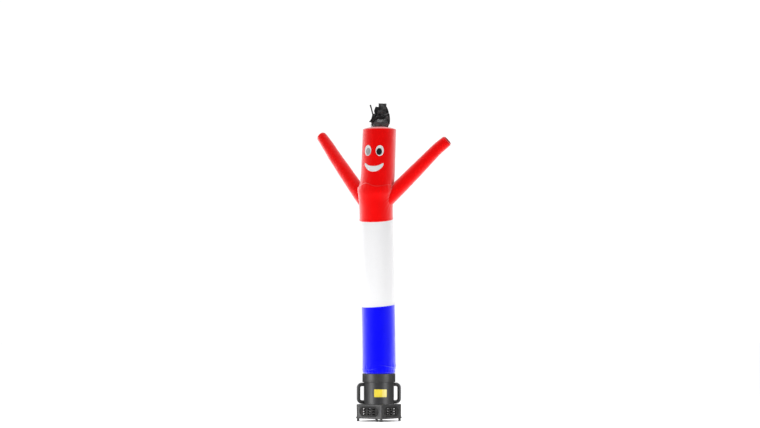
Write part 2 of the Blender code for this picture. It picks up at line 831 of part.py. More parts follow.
def make_handles():
    """Round bar bent to a D on each side, its ends shaped to the duct."""
    low = HANDLE_BOTTOM + HANDLE_BAR
    high = HANDLE_TOP - HANDLE_BAR
    out = HANDLE_REACH - HANDLE_BAR
    start = DUCT_RADIUS - HANDLE_BAR
    path = [(start, low)]
    for middle_z, first in ((low + HANDLE_BEND, -90.0), (high - HANDLE_BEND, 0.0)):
        for step in range(5):
            angle = math.radians(first + 90.0 * step / 4)
            path.append((
                out - HANDLE_BEND + HANDLE_BEND * math.cos(angle),
                middle_z + HANDLE_BEND * math.sin(angle),
            ))
    path.append((start, high))
    room = add_cutter(
        "duct_room", round_plug("duct_room", DUCT_RADIUS + GAP, HANDLE_BOTTOM / 2, DUCT_TOP)
    )
    for name, side in (("handle_left", -1), ("handle_right", 1)):
        points = [Vector((side * reach, 0.0, height)) for reach, height in path]
        rings = sweep_rings(points, [HANDLE_BAR] * len(points), 12)
        handle = add_object(name, loft(name, rings, caps=True), "grey_plastic")
        cut(handle, room)


def make_feet():
    """Short round foot under each corner."""
    for place in range(4):
        spot = bearing_to(90.0 * place) * FOOT_REACH
        mesh = round_plug("foot", FOOT_RADIUS, 0.0, FOOT_HEIGHT - GAP, 16)
        foot = add_object(f"foot_{place + 1}", mesh, "dark_plastic")
        foot.location = spot


def make_label():
    """Bare rectangle of film stuck on the front of the duct."""
    half = math.degrees(LABEL_WIDTH / 2 / DUCT_RADIUS)
    columns = 10
    rings = [
        [
            bearing_to(half * (2 * column / columns - 1)) * (DUCT_RADIUS + GAP)
            + Vector((0, 0, height))
            for column in range(columns + 1)
        ]
        for height in (LABEL_MIDDLE - LABEL_HEIGHT / 2, LABEL_MIDDLE + LABEL_HEIGHT / 2)
    ]
    label = add_object("label", loft("label", rings, wrap=False), "yellow_film")
    thicken(label, LABEL_THICK, 1.0)


def centre_on_origin():
    """Moves the parent so that the origin is the bottom centre of the whole object's box."""
    bpy.context.view_layer.update()
    graph = bpy.context.evaluated_depsgraph_get()
    low, high = Vector((1e3, 1e3, 1e3)), Vector((-1e3, -1e3, -1e3))
    for piece in bpy.data.objects:
        if piece.type != "MESH" or piece.hide_render:
            continue
        shape = piece.evaluated_get(graph)
        for vertex in shape.data.vertices:
            place = piece.matrix_world @ vertex.co
            low = Vector(map(min, low, place))
            high = Vector(map(max, high, place))
    STAND.location = (-(low.x + high.x) / 2, -(low.y + high.y) / 2, -low.z)
    bpy.context.view_layer.update()


for old in list(bpy.data.objects):
    bpy.data.objects.remove(old)
FINISH = {name: make_finish(name) for name in FINISHES}
STAND = bpy.data.objects.new("air_dancer", None)
bpy.context.collection.objects.link(STAND)

make_feet()
make_housing()
make_guards()
make_duct()
make_handles()
make_label()
make_body()
make_crown()
make_tuft()
make_face()
centre_on_origin()
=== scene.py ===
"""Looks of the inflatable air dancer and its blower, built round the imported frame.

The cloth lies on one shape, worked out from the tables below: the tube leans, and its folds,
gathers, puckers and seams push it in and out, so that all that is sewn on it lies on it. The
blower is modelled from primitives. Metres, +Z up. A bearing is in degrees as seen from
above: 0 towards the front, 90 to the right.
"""

import math
from collections import namedtuple

import bmesh
import bpy
import numpy as np
from mathutils import Matrix, Vector, noise


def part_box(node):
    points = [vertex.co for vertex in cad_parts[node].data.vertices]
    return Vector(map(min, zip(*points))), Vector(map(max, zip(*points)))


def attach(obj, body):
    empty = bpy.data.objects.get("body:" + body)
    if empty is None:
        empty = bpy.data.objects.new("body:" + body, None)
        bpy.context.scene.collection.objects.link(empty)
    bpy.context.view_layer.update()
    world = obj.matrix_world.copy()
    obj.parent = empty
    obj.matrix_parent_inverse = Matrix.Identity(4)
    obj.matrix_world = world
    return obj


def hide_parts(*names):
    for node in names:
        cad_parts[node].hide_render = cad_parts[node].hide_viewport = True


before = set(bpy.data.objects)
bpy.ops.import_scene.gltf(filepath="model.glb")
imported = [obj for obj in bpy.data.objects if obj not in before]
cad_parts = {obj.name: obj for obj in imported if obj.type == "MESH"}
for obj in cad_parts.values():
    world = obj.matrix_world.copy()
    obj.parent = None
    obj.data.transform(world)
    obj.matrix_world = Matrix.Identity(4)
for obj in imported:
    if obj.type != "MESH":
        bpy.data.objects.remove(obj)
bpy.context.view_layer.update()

# The blower's upright axis, from the frame
DUCT_LOW, DUCT_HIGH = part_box("duct")
AXIS = np.array([(DUCT_LOW.x + DUCT_HIGH.x) / 2, (DUCT_LOW.y + DUCT_HIGH.y) / 2, 0.0])

# Blower
FOOT_HEIGHT = 0.018
FOOT_RADIUS = 0.0082
FOOT_REACH = 0.1415
FOOT_RIM = 0.0030
FOOT_DISH = 0.0020
WALL = 0.004
BOX_SIDE = 0.219
BOX_CORNER = 0.007
BOX_TOP = 0.1145
BOX_ROUNDING = 0.0028
LIP_TOP = 0.030
LIP_PROUD = 0.004
DUCT_RADIUS = 0.102
DUCT_TOP = 0.300
DUCT_FOOT_TOP = 0.1185
DUCT_FOOT_PROUD = 0.0016
DUCT_RING = 0.255
INLET_RADIUS = 0.096
COLLAR_BOTTOM = 0.263
COLLAR_TOP = 0.322
COLLAR_RADIUS = 0.1115
COLLAR_INNER = 0.1041
COLLAR_ROUNDING = 0.0030
GUARD_WIDTH = 0.162
GUARD_HEIGHT = 0.065
GUARD_MIDDLE = 0.065
GUARD_THICK = 0.003
GUARD_SET_BACK = 0.003
RECESS_RIM = 0.008
RECESS_THICK = 0.0024
SLOT_COLUMNS = 3
SLOT_ROWS = 3
SLOT_WIDTH = 0.025
SLOT_HEIGHT = 0.0096
SLOT_PITCH_ACROSS = 0.040
SLOT_PITCH_UP = 0.0175
HANDLE_BAR = 0.012
HANDLE_REACH = 0.1505
HANDLE_BOTTOM = 0.117
HANDLE_TOP = 0.260
HANDLE_BEND = 0.022
LABEL_WIDTH = 0.086
LABEL_HEIGHT = 0.052
LABEL_MIDDLE = 0.191
LABEL_DEPTH = 0.06
LABEL_CORNER = 0.0040
LABEL_THICK = 0.0004
FACE_BEARINGS = (45.0, 135.0, 225.0, 315.0)
AIR = 0.0003

# Dancer
CLOTH = 0.0008
ON_CLOTH = 0.0001
HEM_START = 0.268
HEM_RADIUS = 0.1038
TUBE_RADIUS = 0.1125
FACE_BEARING = -24.9
RIGHT_BEARING = 83.5
BACK_SEAM = 154.0
BACK_ROW = 1.35
RIM_LOW = 1.9715
RIM_TOP = 1.9768
RIM_RADIUS = 0.1056
CROWN_RISE = 0.017
FACE_RADIUS = 0.1154
EYE_SPREAD = 21.75
EYE_HEIGHT = 1.821
EYE_WIDTH = 0.0540
EYE_TALL = 0.0705
PUPIL_WIDTH = 0.035
PUPIL_TALL = 0.044
PUPIL_DROP = 0.0068
PUPIL_SPREAD = 20.05
MOUTH_BEARING = -24.0
MOUTH_HALF_ANGLE = 34.8
MOUTH_TIP = 1.7225
MOUTH_BOW = 2.2
MOUTH_BLUNT = 14
MOUTH_BOTTOM = 1.680
MOUTH_THICK = 0.035
MOUTH_TIP_THICK = 0.0195
PATCH_LIFT = 0.0004
PUPIL_LIFT = 0.0013
PATCH_THICK = 0.0006
EDGE_INSET = 0.985
EDGE_PITCH = 0.00055
EDGE_WIDTH = 0.0014
EDGE_HIGH = 0.00065

# Middle line and radius of the tube, all round the blower's axis
Station = namedtuple("Station", "height x y radius")
BODY = np.array([
    Station(HEM_START, 0.000, 0.000, HEM_RADIUS),
    Station(COLLAR_TOP, 0.000, 0.000, HEM_RADIUS),
    Station(0.333, 0.000, 0.000, 0.1090),
    Station(0.347, 0.001, 0.000, 0.1112),
    Station(0.400, 0.001, -0.001, TUBE_RADIUS),
    Station(0.550, -0.001, -0.005, TUBE_RADIUS),
    Station(0.783, -0.007, -0.019, TUBE_RADIUS),
    Station(1.050, -0.014, -0.047, TUBE_RADIUS),
    Station(1.356, -0.0275, -0.088, TUBE_RADIUS),
    Station(1.500, -0.0315, -0.113, 0.1132),
    Station(1.598, -0.027, -0.132, 0.1137),
    Station(1.660, -0.0215, -0.1305, 0.1137),
    Station(1.780, -0.0168, -0.1272, 0.1136),
    Station(1.930, -0.0109, -0.1230, 0.1134),
    Station(1.9675, -0.010, -0.122, 0.1130),
    Station(RIM_LOW, -0.010, -0.122, 0.1121),
    Station(1.9743, -0.010, -0.122, 0.1102),
    Station(1.9760, -0.010, -0.122, 0.1079),
    Station(RIM_TOP, -0.010, -0.122, RIM_RADIUS),
])

# Creases draw the cloth in and swells push it out: reach is outward, across is the half width
# up the tube, and spread is the half width round it, in degrees
Fold = namedtuple("Fold", "height slant reach across bearing spread")
FOLDS = (
    Fold(0.3450, 0.004, -0.0030, 0.0070, 75.0, 70.0),
    Fold(0.3700, 0.006, 0.0030, 0.0110, 75.0, 70.0),
    Fold(1.5600, 0.000, 0.0120, 0.0330, -78.0, 75.0),
    Fold(1.5700, 0.000, 0.0060, 0.0220, 20.0, 70.0),
    Fold(1.5080, 0.000, 0.0070, 0.0400, -66.0, 60.0),
)
# Ledges stand out below a line and fall back further down. The line is higher by its lean on the
# right, and rises by its bump round the peak's bearing, over about a width each way. The ledge is
# strongest at its own bearing.
Ledge = namedtuple("Ledge", "height lean bump peak width reach rise fall bearing spread")
LEDGES = (
    Ledge(1.5920, 0.0150, 0.021, -50.0, 26.0, 0.0065, 0.0050, 0.045, -35.0, 150.0),
    Ledge(0.3640, 0.0, -0.017, -58.0, 35.0, 0.0085, 0.0060, 0.012, -50.0, 75.0),
    Ledge(0.3900, 0.0, -0.027, 75.0, 60.0, 0.0080, 0.0060, 0.014, 35.0, 85.0),
    Ledge(0.4250, 0.0, -0.018, -70.0, 50.0, 0.0035, 0.0060, 0.016, -20.0, 80.0),
    Ledge(0.3700, 0.0, -0.016, 170.0, 50.0, 0.0080, 0.0060, 0.014, 170.0, 80.0),
)
# Seams round the tube: height, and how much higher the seam is on the right than in its middle
Seam = namedtuple("Seam", "height slant")
BLUE_SEAM = Seam(0.783, 0.007)
RED_SEAM = Seam(1.363, 0.003)
LAP = 0.008
LAP_PROUD = 0.0012
STITCH_ROWS = (0.0017, 0.0062)
# Puckers along a line round the tube: how far from it they reach, and how deep they are
Pucker = namedtuple("Pucker", "line reach depth")
PUCKERS = (
    Pucker(BLUE_SEAM, 0.013, 0.00055),
    Pucker(RED_SEAM, 0.013, 0.00055),
    Pucker(Seam(1.589, 0.0), 0.020, 0.0006),
    Pucker(Seam(1.961, 0.0), 0.014, 0.0006),
)

# Middle line and radius of each open sleeve, from the shoulder to its end
SLEEVES = {
    "arm_left": np.array([
        (-0.132, -0.064, 1.535, 0.0495),
        (-0.212, 0.014, 1.666, 0.0465),
        (-0.285, 0.087, 1.787, 0.0425),
        (-0.352, 0.158, 1.905, 0.0378),
        (-0.371, 0.1748, 1.9350, 0.0362),
        (-0.3805, 0.1825, 1.9485, 0.0338),
    ]),
    "arm_right": np.array([
        (0.069, -0.163, 1.529, 0.0495),
        (0.149, -0.200, 1.612, 0.0478),
        (0.254, -0.250, 1.722, 0.0440),
        (0.359, -0.299, 1.832, 0.0396),
        (0.416, -0.3233, 1.8831, 0.0368),
        (0.427, -0.328, 1.893, 0.0325),
    ]),
}
SLEEVE_START = 0.080
SLEEVE_RADIUS = 0.043
SLEEVE_COLUMNS = 84
ROOT_GAP = 0.0005
ROOT_EASE = 0.0055
ROOT_STITCHES = 0.0032
HEM_WIDTH = 0.013
HEM_STITCHES = 0.0115

# Hair strips on the crown: root place, tip offset and swing are right and towards the front. A
# strip starts at the height of its foot and ends tall above that, swings out furthest at a share
# of its length, point is how much narrower its tip is, and rough is how deep its crumples are.
Strip = namedtuple(
    "Strip",
    "cloth right front foot tall tip_right tip_front width turn swing swing_front at point rough",
)
# Strips of the darkest cloth are painted shading: a darker copy of the black cloth where the folds
# of the tuft lie in shadow
STRIPS = (
    Strip("black", 0.019, 0, 0, 0.153, -0.002, 0.02, 0.054, -8, 0.002, -0.006, 0.5, 0.15, 0.008),
    Strip("ink_and_painted_shade", -0.013, 0.002, 0, 0.13, 0, 0.016, 0.037, 8, -0.003, -0.006, 0.5, 0.1, 0.008),
    Strip("ink_and_painted_shade", 0.04, 0.004, 0, 0.134, -0.001, 0.006, 0.026, -30, 0.013, 0.004, 0.7, 0.4, 0.004),
    Strip("black", -0.028, 0.01, 0, 0.15, -0.036, 0.006, 0.013, 15, 0.002, 0, 0.5, 0.2, 0.001),
    Strip("black", -0.034, 0.014, 0, 0.088, -0.004, 0.004, 0.03, 25, -0.006, 0.006,
          0.5, 0.3, 0.008),
    Strip("black", 0.042, 0.016, 0, 0.086, 0.012, -0.002, 0.036, -28, 0.006, 0.008,
          0.5, 0.25, 0.008),
    Strip("black", 0.002, 0.012, 0, 0.108, 0.002, 0.008, 0.044, 0, 0, -0.006, 0.4, 0.2, 0.01),
    Strip("ink_and_painted_shade", -0.024, 0.036, 0.052, -0.017, -0.05, 0.002, 0.056, 12, 0, 0.004,
          0.5, 0.95, 0.003),
    Strip("ink_and_painted_shade", -0.036, 0.036, 0.05, 0.034, 0.092, -0.01, 0.022, -6, 0, 0.012, 0.5, 0.35, 0.006),
    Strip("black", 0.06, 0.024, 0.052, 0.026, -0.028, 0.01, 0.01, 4, 0, 0.006, 0.5, 0.1, 0.002),
    Strip("black", 0.022, -0.022, 0, 0.138, -0.006, -0.004, 0.04, -165, 0.004, -0.006,
          0.5, 0.15, 0.008),
    Strip("black", -0.012, -0.022, 0, 0.112, 0, -0.004, 0.036, 165, -0.004, -0.006,
          0.5, 0.15, 0.008),
    Strip("black", 0.042, -0.018, 0, 0.098, 0.004, 0, 0.032, -115, 0.006, -0.004, 0.5, 0.2, 0.008),
    Strip("black", -0.04, -0.012, 0, 0.07, -0.002, -0.004, 0.032, 110, -0.006, -0.004,
          0.5, 0.2, 0.008),
    Strip("black", 0.034, -0.006, 0, 0.104, 0.002, 0, 0.048, 0, 0.002, 0.004, 0.5, 0.1, 0.006),
    Strip("ink_and_painted_shade", 0, -0.04, 0, 0.096, 0.002, -0.004, 0.048, 180, 0, -0.01, 0.5, 0.2, 0.01),
)
# Gathered band round the tuft's foot: share of its height, and radius there
BAND = ((0.0, 0.058), (0.3, 0.059), (0.6, 0.056), (0.85, 0.049), (1.0, 0.038))
BAND_TALL = 0.052
BAND_RIGHT = 0.006
BAND_ROUND = 2 * math.pi * 0.056
TUFT_PATCH = 0.5
TUFT_PATCH_THICK = 0.0028
TUFT_CLOTH = 0.0007

# The studio's lamps: bearing, height and distance from the blower's axis, size and power
Lamp = namedtuple("Lamp", "name bearing height reach wide tall power")
LAMPS = (
    Lamp("key", 50.0, 1.30, 3.6, 1.1, 2.2, 12.0),
    Lamp("fill", -67.0, 1.30, 3.6, 1.2, 2.2, 17.0),
    Lamp("low_key", 43.0, 0.30, 1.6, 0.50, 0.6, 8.5),
    Lamp("low_fill", -64.0, 0.30, 1.6, 0.55, 0.6, 12.0),
    Lamp("rim_left", -135.0, 1.95, 2.6, 0.8, 1.2, 40.0),
    Lamp("rim_right", 125.0, 1.95, 2.6, 0.8, 1.2, 26.0),
)
# The camera's bearing, distance and height, and the picture's size in pixels: focal length,
# width, the row and column that it looks at, and those of the horizon and the blower's axis
CAMERA_BEARING = -6.5
CAMERA_REACH = 18.36
CAMERA_HEIGHT = 0.868
FOCAL = 2700.0
PICTURE_WIDTH = 760.0
MIDDLE_COLUMN, MIDDLE_ROW = 380.0, 214.0
AXIS_COLUMN, HORIZON_ROW = 378.85, 293.0
SENSOR_WIDTH = 36.0


# Materials

WEAVE_PITCH = 0.0011
GRID_PITCH = 0.0052
GRID_SHARP = 24.0
# Colour that the painted sheen turns the cloth towards where it is seen edge on
PAINTED_SHEEN = (0.80, 0.80, 0.80)
DUST = (0.21, 0.20, 0.185)


class Value:
    """One value in a material. Sums on it add Math nodes."""

    def __init__(self, recipe, socket):
        self.recipe, self.socket = recipe, socket

    def math(self, operation, *values):
        sockets = dict(enumerate((self, *values)))
        return self.recipe.node("ShaderNodeMath", {"operation": operation}, sockets)

    def swapped(self, operation, value):
        return self.recipe.node("ShaderNodeMath", {"operation": operation}, {0: value, 1: self})

    def __add__(self, other):
        return self.math("ADD", other)

    def __sub__(self, other):
        return self.math("SUBTRACT", other)

    def __rsub__(self, other):
        return self.swapped("SUBTRACT", other)

    def __mul__(self, other):
        return self.math("MULTIPLY", other)

    def __pow__(self, other):
        return self.math("POWER", other)

    __radd__ = __add__
    __rmul__ = __mul__


class Recipe:
    """A material, or the studio's world, being mixed."""

    def __init__(self, holder, shader="Principled BSDF"):
        self.holder = holder
        holder.use_nodes = True
        self.tree = holder.node_tree
        self.shader = self.tree.nodes[shader]

    def node(self, kind, settings=None, sockets=None, output=0):
        """Adds a node: its settings first, then the values or links of its sockets."""
        node = self.tree.nodes.new(kind)
        for name, value in (settings or {}).items():
            if name == "stops":
                ramp = node.color_ramp.elements
                while len(ramp) < len(value):
                    ramp.new(1.0)
                for stop, (place, level) in zip(ramp, value):
                    stop.position = place
                    stop.color = (level, level, level, 1.0)
            else:
                setattr(node, name, value)
        for name, value in (sockets or {}).items():
            self.plug(node.inputs[name], value)
        return Value(self, node.outputs[output])

    def plug(self, socket, value):
        if isinstance(value, Value):
            self.tree.links.new(value.socket, socket)
        else:
            socket.default_value = value

    def set(self, **sockets):
        """Sets or links the shader's own sockets; an underscore stands for a space."""
        for name, value in sockets.items():
            self.plug(self.shader.inputs[name.replace("_", " ")], value)

    def place(self):
        """Where a point of the surface is, in metres."""
        return self.node("ShaderNodeTexCoord", output="Object")

    def flat_place(self):
        """Where a point lies on the flat cloth: right and up, in metres."""
        flat = self.node("ShaderNodeUVMap", {"uv_map": "cloth"})
        parts = {"Vector": flat}
        return (self.node("ShaderNodeSeparateXYZ", None, parts, "X"),
                self.node("ShaderNodeSeparateXYZ", None, parts, "Y"))

    def noise(self, place, size, detail=2.0, roughness=0.5):
        """Soft blotches of about a size, from 0 to 1."""
        return self.node("ShaderNodeTexNoise", None, {
            "Vector": place, "Scale": 1.0 / size, "Detail": detail, "Roughness": roughness,
        }, "Fac")

    def ramp(self, value, *stops):
        return self.node("ShaderNodeValToRGB", {"stops": stops}, {"Fac": value})

    def blend(self, share, first, second):
        """Mix of two colours."""
        return self.node(
            "ShaderNodeMix", {"data_type": "RGBA", "clamp_factor": True},
            {0: share, 6: first, 7: second}, 2,
        )

    def bump(self, height, depth, over=None):
        """Normal of a relief that is depth metres high where height is 1."""
        sockets = {"Height": height, "Distance": depth, "Strength": 1.0}
        if over is not None:
            sockets["Normal"] = over
        return self.node("ShaderNodeBump", None, sockets)


def solid_colour(red, green, blue):
    return (red, green, blue, 1.0)


def wave(value, pitch):
    """Even ripple from 0 to 1 along a value, one for each pitch."""
    return value.math("MULTIPLY", 2 * math.pi / pitch).math("SINE") * 0.5 + 0.5


def nylon(name, colour, painted_shade, glow, roughness=0.46, sheen_and_painted_sheen=0.54, gloss=0.04):
    """Thin woven cloth: plain weave with a square grid of stronger threads, faint creases from
    packing, and slight wear. Painted shading darkens the colour in the crinkles' hollows, and
    it goes to glow where it is thin. The sheen weight sets both its sheen and a painted sheen
    that turns the colour whiter where the cloth is seen edge on."""
    mix = Recipe(bpy.data.materials.new(name))
    place = mix.place()
    right, up = mix.flat_place()
    weave = wave(right, WEAVE_PITCH) * wave(up, WEAVE_PITCH)
    grid = (wave(right, GRID_PITCH) ** GRID_SHARP).math(
        "MAXIMUM", wave(up, GRID_PITCH) ** GRID_SHARP
    )
    blotch = mix.noise(place, 0.055, 3.0)
    cloudy = mix.ramp(mix.noise(place, 0.19, 2.0), (0.35, 0.0), (0.7, 1.0))
    crinkle = mix.noise(place, 0.021, 5.0, 0.62)
    fine = mix.noise(place, 0.0016, 2.0)
    tone = mix.blend(cloudy * 0.35, solid_colour(*colour), solid_colour(*glow))
    # Painted shading: the colour darkens in the hollows of the crinkle relief
    tone = mix.blend(mix.ramp(crinkle, (0.25, 0.3), (0.42, 0.0)), tone, solid_colour(*painted_shade))
    tone = mix.blend(grid * 0.10 + weave * 0.05, tone, solid_colour(*glow))
    # Painted sheen: the colour turns whiter where the cloth is seen edge on
    painted_sheen_share = mix.node("ShaderNodeLayerWeight", None, {"Blend": 0.5}, "Facing")
    tone = mix.blend(painted_sheen_share ** 2.3 * sheen_and_painted_sheen, tone, solid_colour(*PAINTED_SHEEN))
    mix.set(
        Base_Color=tone,
        Roughness=roughness - 0.06 + 0.14 * blotch + 0.05 * fine - 0.04 * grid,
        Normal=mix.bump(
            weave * 0.5 + grid * 0.6 + fine * 0.3, 0.00005,
            mix.bump(crinkle, 0.0006),
        ),
    )
    mix.set(Sheen_Weight=0.9 * sheen_and_painted_sheen, Sheen_Roughness=0.26, Sheen_Tint=(1.0, 1.0, 1.0, 1.0),
            Specular_IOR_Level=gloss)
    return mix.holder


def thread(name, colour):
    """Twisted sewing thread."""
    mix = Recipe(bpy.data.materials.new(name))
    place = mix.place()
    strands = mix.noise(place, 0.0007, 3.0)
    mix.set(
        Base_Color=mix.blend(strands, solid_colour(*(part * 0.72 for part in colour)),
                             solid_colour(*colour)),
        Roughness=0.45 + 0.2 * strands,
        Normal=mix.bump(strands, 0.00015),
    )
    mix.set(Sheen_Weight=0.3)
    return mix.holder


def moulded(name, dark, light, scuff, roughness, gloss=0.7):
    """Moulded plastic with a fine grain, faint flow marks, dust that lies low, and scuffs on the
    edges that get knocked."""
    mix = Recipe(bpy.data.materials.new(name))
    place = mix.place()
    pores = mix.noise(place, 0.0009, 2.0)
    broad = mix.noise(place, 0.06, 3.0)
    flecks = mix.ramp(mix.noise(place, 0.004, 4.0, 0.7), (0.45, 0.0), (0.7, 1.0))
    edge = mix.node("ShaderNodeAttribute", {"attribute_name": "wear"}, output="Fac")
    worn = edge * flecks
    height = mix.node("ShaderNodeSeparateXYZ", None, {"Vector": place}, "Z")
    low = mix.ramp(height, (0.0, 1.0), (0.14, 0.0))
    dust = mix.ramp(mix.noise(place, 0.013, 5.0, 0.7), (0.42, 0.0), (0.75, 1.0)) * low
    tone = mix.blend(broad, solid_colour(*dark), solid_colour(*light))
    tone = mix.blend(worn * 0.6, tone, solid_colour(*scuff))
    tone = mix.blend(dust * 0.35, tone, solid_colour(*DUST))
    mix.set(
        Base_Color=tone,
        Roughness=roughness - 0.08 + 0.12 * broad + 0.10 * pores + 0.18 * dust - 0.05 * worn,
        Normal=mix.bump(pores, 0.00012, mix.bump(broad, 0.0004)),
    )
    mix.set(Specular_IOR_Level=gloss)
    return mix.holder


def film(name):
    """Glossy yellow sticker with small air bubbles, its right-hand third made paler by a painted
    highlight of glare."""
    mix = Recipe(bpy.data.materials.new(name))
    place = mix.place()
    right = mix.node("ShaderNodeSeparateXYZ", None, {"Vector": place}, "X") - float(AXIS[0])
    ripple = mix.noise(place, 0.02, 2.0)
    bubbles = mix.ramp(mix.noise(place, 0.0035, 1.0), (0.72, 0.0), (0.8, 1.0))
    # Painted highlight: the right-hand third turns paler, as glare from a lamp
    painted_glare = mix.ramp((right + ripple * 0.004) * 10.0, (0.125, 0.0), (0.155, 1.0))
    tone = mix.blend(painted_glare, solid_colour(0.66, 0.515, 0.028), solid_colour(0.68, 0.57, 0.135))
    tone = mix.blend(mix.noise(place, 0.006, 4.0, 0.7) * 0.25, tone,
                     solid_colour(0.60, 0.45, 0.035))
    mix.set(
        Base_Color=tone,
        Roughness=0.30 + 0.15 * ripple,
        Normal=mix.bump(bubbles * 0.4 + ripple, 0.0002),
    )
    mix.set(Coat_Weight=0.2, Coat_Roughness=0.25)
    return mix.holder


def plain(name, colour, roughness):
    """Even matt finish of the studio."""
    mix = Recipe(bpy.data.materials.new(name))
    mix.set(Base_Color=solid_colour(*colour), Roughness=roughness)
    return mix.holder


# The cloth's shape

def smooth_curve(rows, at):
    """Rows of a table at places along its first column, on a smooth curve that never swings
    past the table's own rows."""
    marks = rows[:, 0]
    at = np.clip(at, marks[0], marks[-1])
    step = np.diff(marks)[:, None]
    slope = np.diff(rows, axis=0) / step
    before, after = slope[:-1], slope[1:]
    both = before + after
    inner = np.where(before * after > 0, 2 * before * after / np.where(both == 0, 1, both), 0)
    tangent = np.vstack([slope[:1], inner, slope[-1:]])
    index = np.clip(np.searchsorted(marks, at, side="left") - 1, 0, len(marks) - 2)
    span = step[index]
    share = ((at - marks[index]) / span[..., 0])[..., None]
    return (
        rows[index] * (2 * share**3 - 3 * share**2 + 1)
        + rows[index + 1] * (3 * share**2 - 2 * share**3)
        + tangent[index] * span * (share**3 - 2 * share**2 + share)
        + tangent[index + 1] * span * (share**3 - share**2)
    )


def unit(vectors):
    return vectors / np.linalg.norm(vectors, axis=-1, keepdims=True)


def smooth_step(value, start, end):
    """0 before start, 1 past end, and a smooth rise between."""
    share = np.clip((value - start) / (end - start), 0.0, 1.0)
    return share * share * (3 - 2 * share)


def lump(points, size, seed):
    """Smooth noise from -1 to 1, its bumps about a size across."""
    shift = Vector((seed * 17.3, seed * 5.1, seed * 9.7))
    flat = points.reshape(-1, 3) / size
    values = [noise.noise(Vector(point) + shift) for point in flat]
    return np.array(values).reshape(points.shape[:-1])


def crease(points, size, seed):
    """Noise with sharp ridges at 1, as in crumpled cloth."""
    return 1.0 - 2.2 * np.abs(lump(points, size, seed))


def slanted(height, slant, bearing):
    """Height of a slanted line round the tube at a bearing."""
    return height + slant * np.cos(np.radians(bearing - RIGHT_BEARING))


def turned(bearing, middle):
    """Degrees from a bearing to another, from -180 to 180."""
    return (bearing - middle + 180.0) % 360.0 - 180.0


def tube_frame(height):
    """Middle of the tube at heights, its front, side and upward directions, and its radius."""
    low, here, high = (smooth_curve(BODY, height + step) for step in (-0.001, 0.0, 0.001))
    rise = (high - low)[..., [1, 2, 0]]
    up = unit(rise)
    ahead = np.broadcast_to(np.array([0.0, -1.0, 0.0]), up.shape)
    front = unit(ahead - up * (up * ahead).sum(-1, keepdims=True))
    side = np.cross(up, front)
    return here[..., [1, 2, 0]] + AXIS, front, side, up, here[..., 3]


def folds(height, bearing):
    """How far the folds and ledges stand out."""
    total = 0.0
    for ledge in LEDGES:
        from_peak = turned(bearing, ledge.peak) / ledge.width
        line = slanted(ledge.height, ledge.lean, bearing) + ledge.bump * np.exp(-(from_peak**2))
        below = np.clip(line - height, 0.0, None)
        shelf = smooth_step(below, 0.0, ledge.rise) * np.exp(-below / ledge.fall)
        side = np.clip(np.abs(turned(bearing, ledge.bearing)) / ledge.spread, 0.0, 1.0)
        total = total + ledge.reach * shelf * np.cos(side * math.pi / 2) ** 2
    for fold in FOLDS:
        off_line = (height - slanted(fold.height, fold.slant, bearing)) / fold.across
        turn = np.clip(np.abs(turned(bearing, fold.bearing)) / fold.spread, 0.0, 1.0)
        near = np.where(np.abs(off_line) < 3.0, np.exp(-(off_line**2)), 0.0)
        total = total + fold.reach * near * np.cos(turn * math.pi / 2) ** 2
    return total


def sleeve_table(rows):
    """Distance along a sleeve, then its middle line and radius, from inside the body outward."""
    steps = np.linalg.norm(np.diff(rows[:, :3], axis=0), axis=1)
    along = np.concatenate([[0.0], np.cumsum(steps)])
    table = np.column_stack([along, rows])
    start = table[0].copy()
    start[0] = -SLEEVE_START
    start[1:4] += unit(rows[0, :3] - rows[1, :3]) * SLEEVE_START
    return np.vstack([start, table])


SLEEVE_TABLES = {name: sleeve_table(rows) for name, rows in SLEEVES.items()}


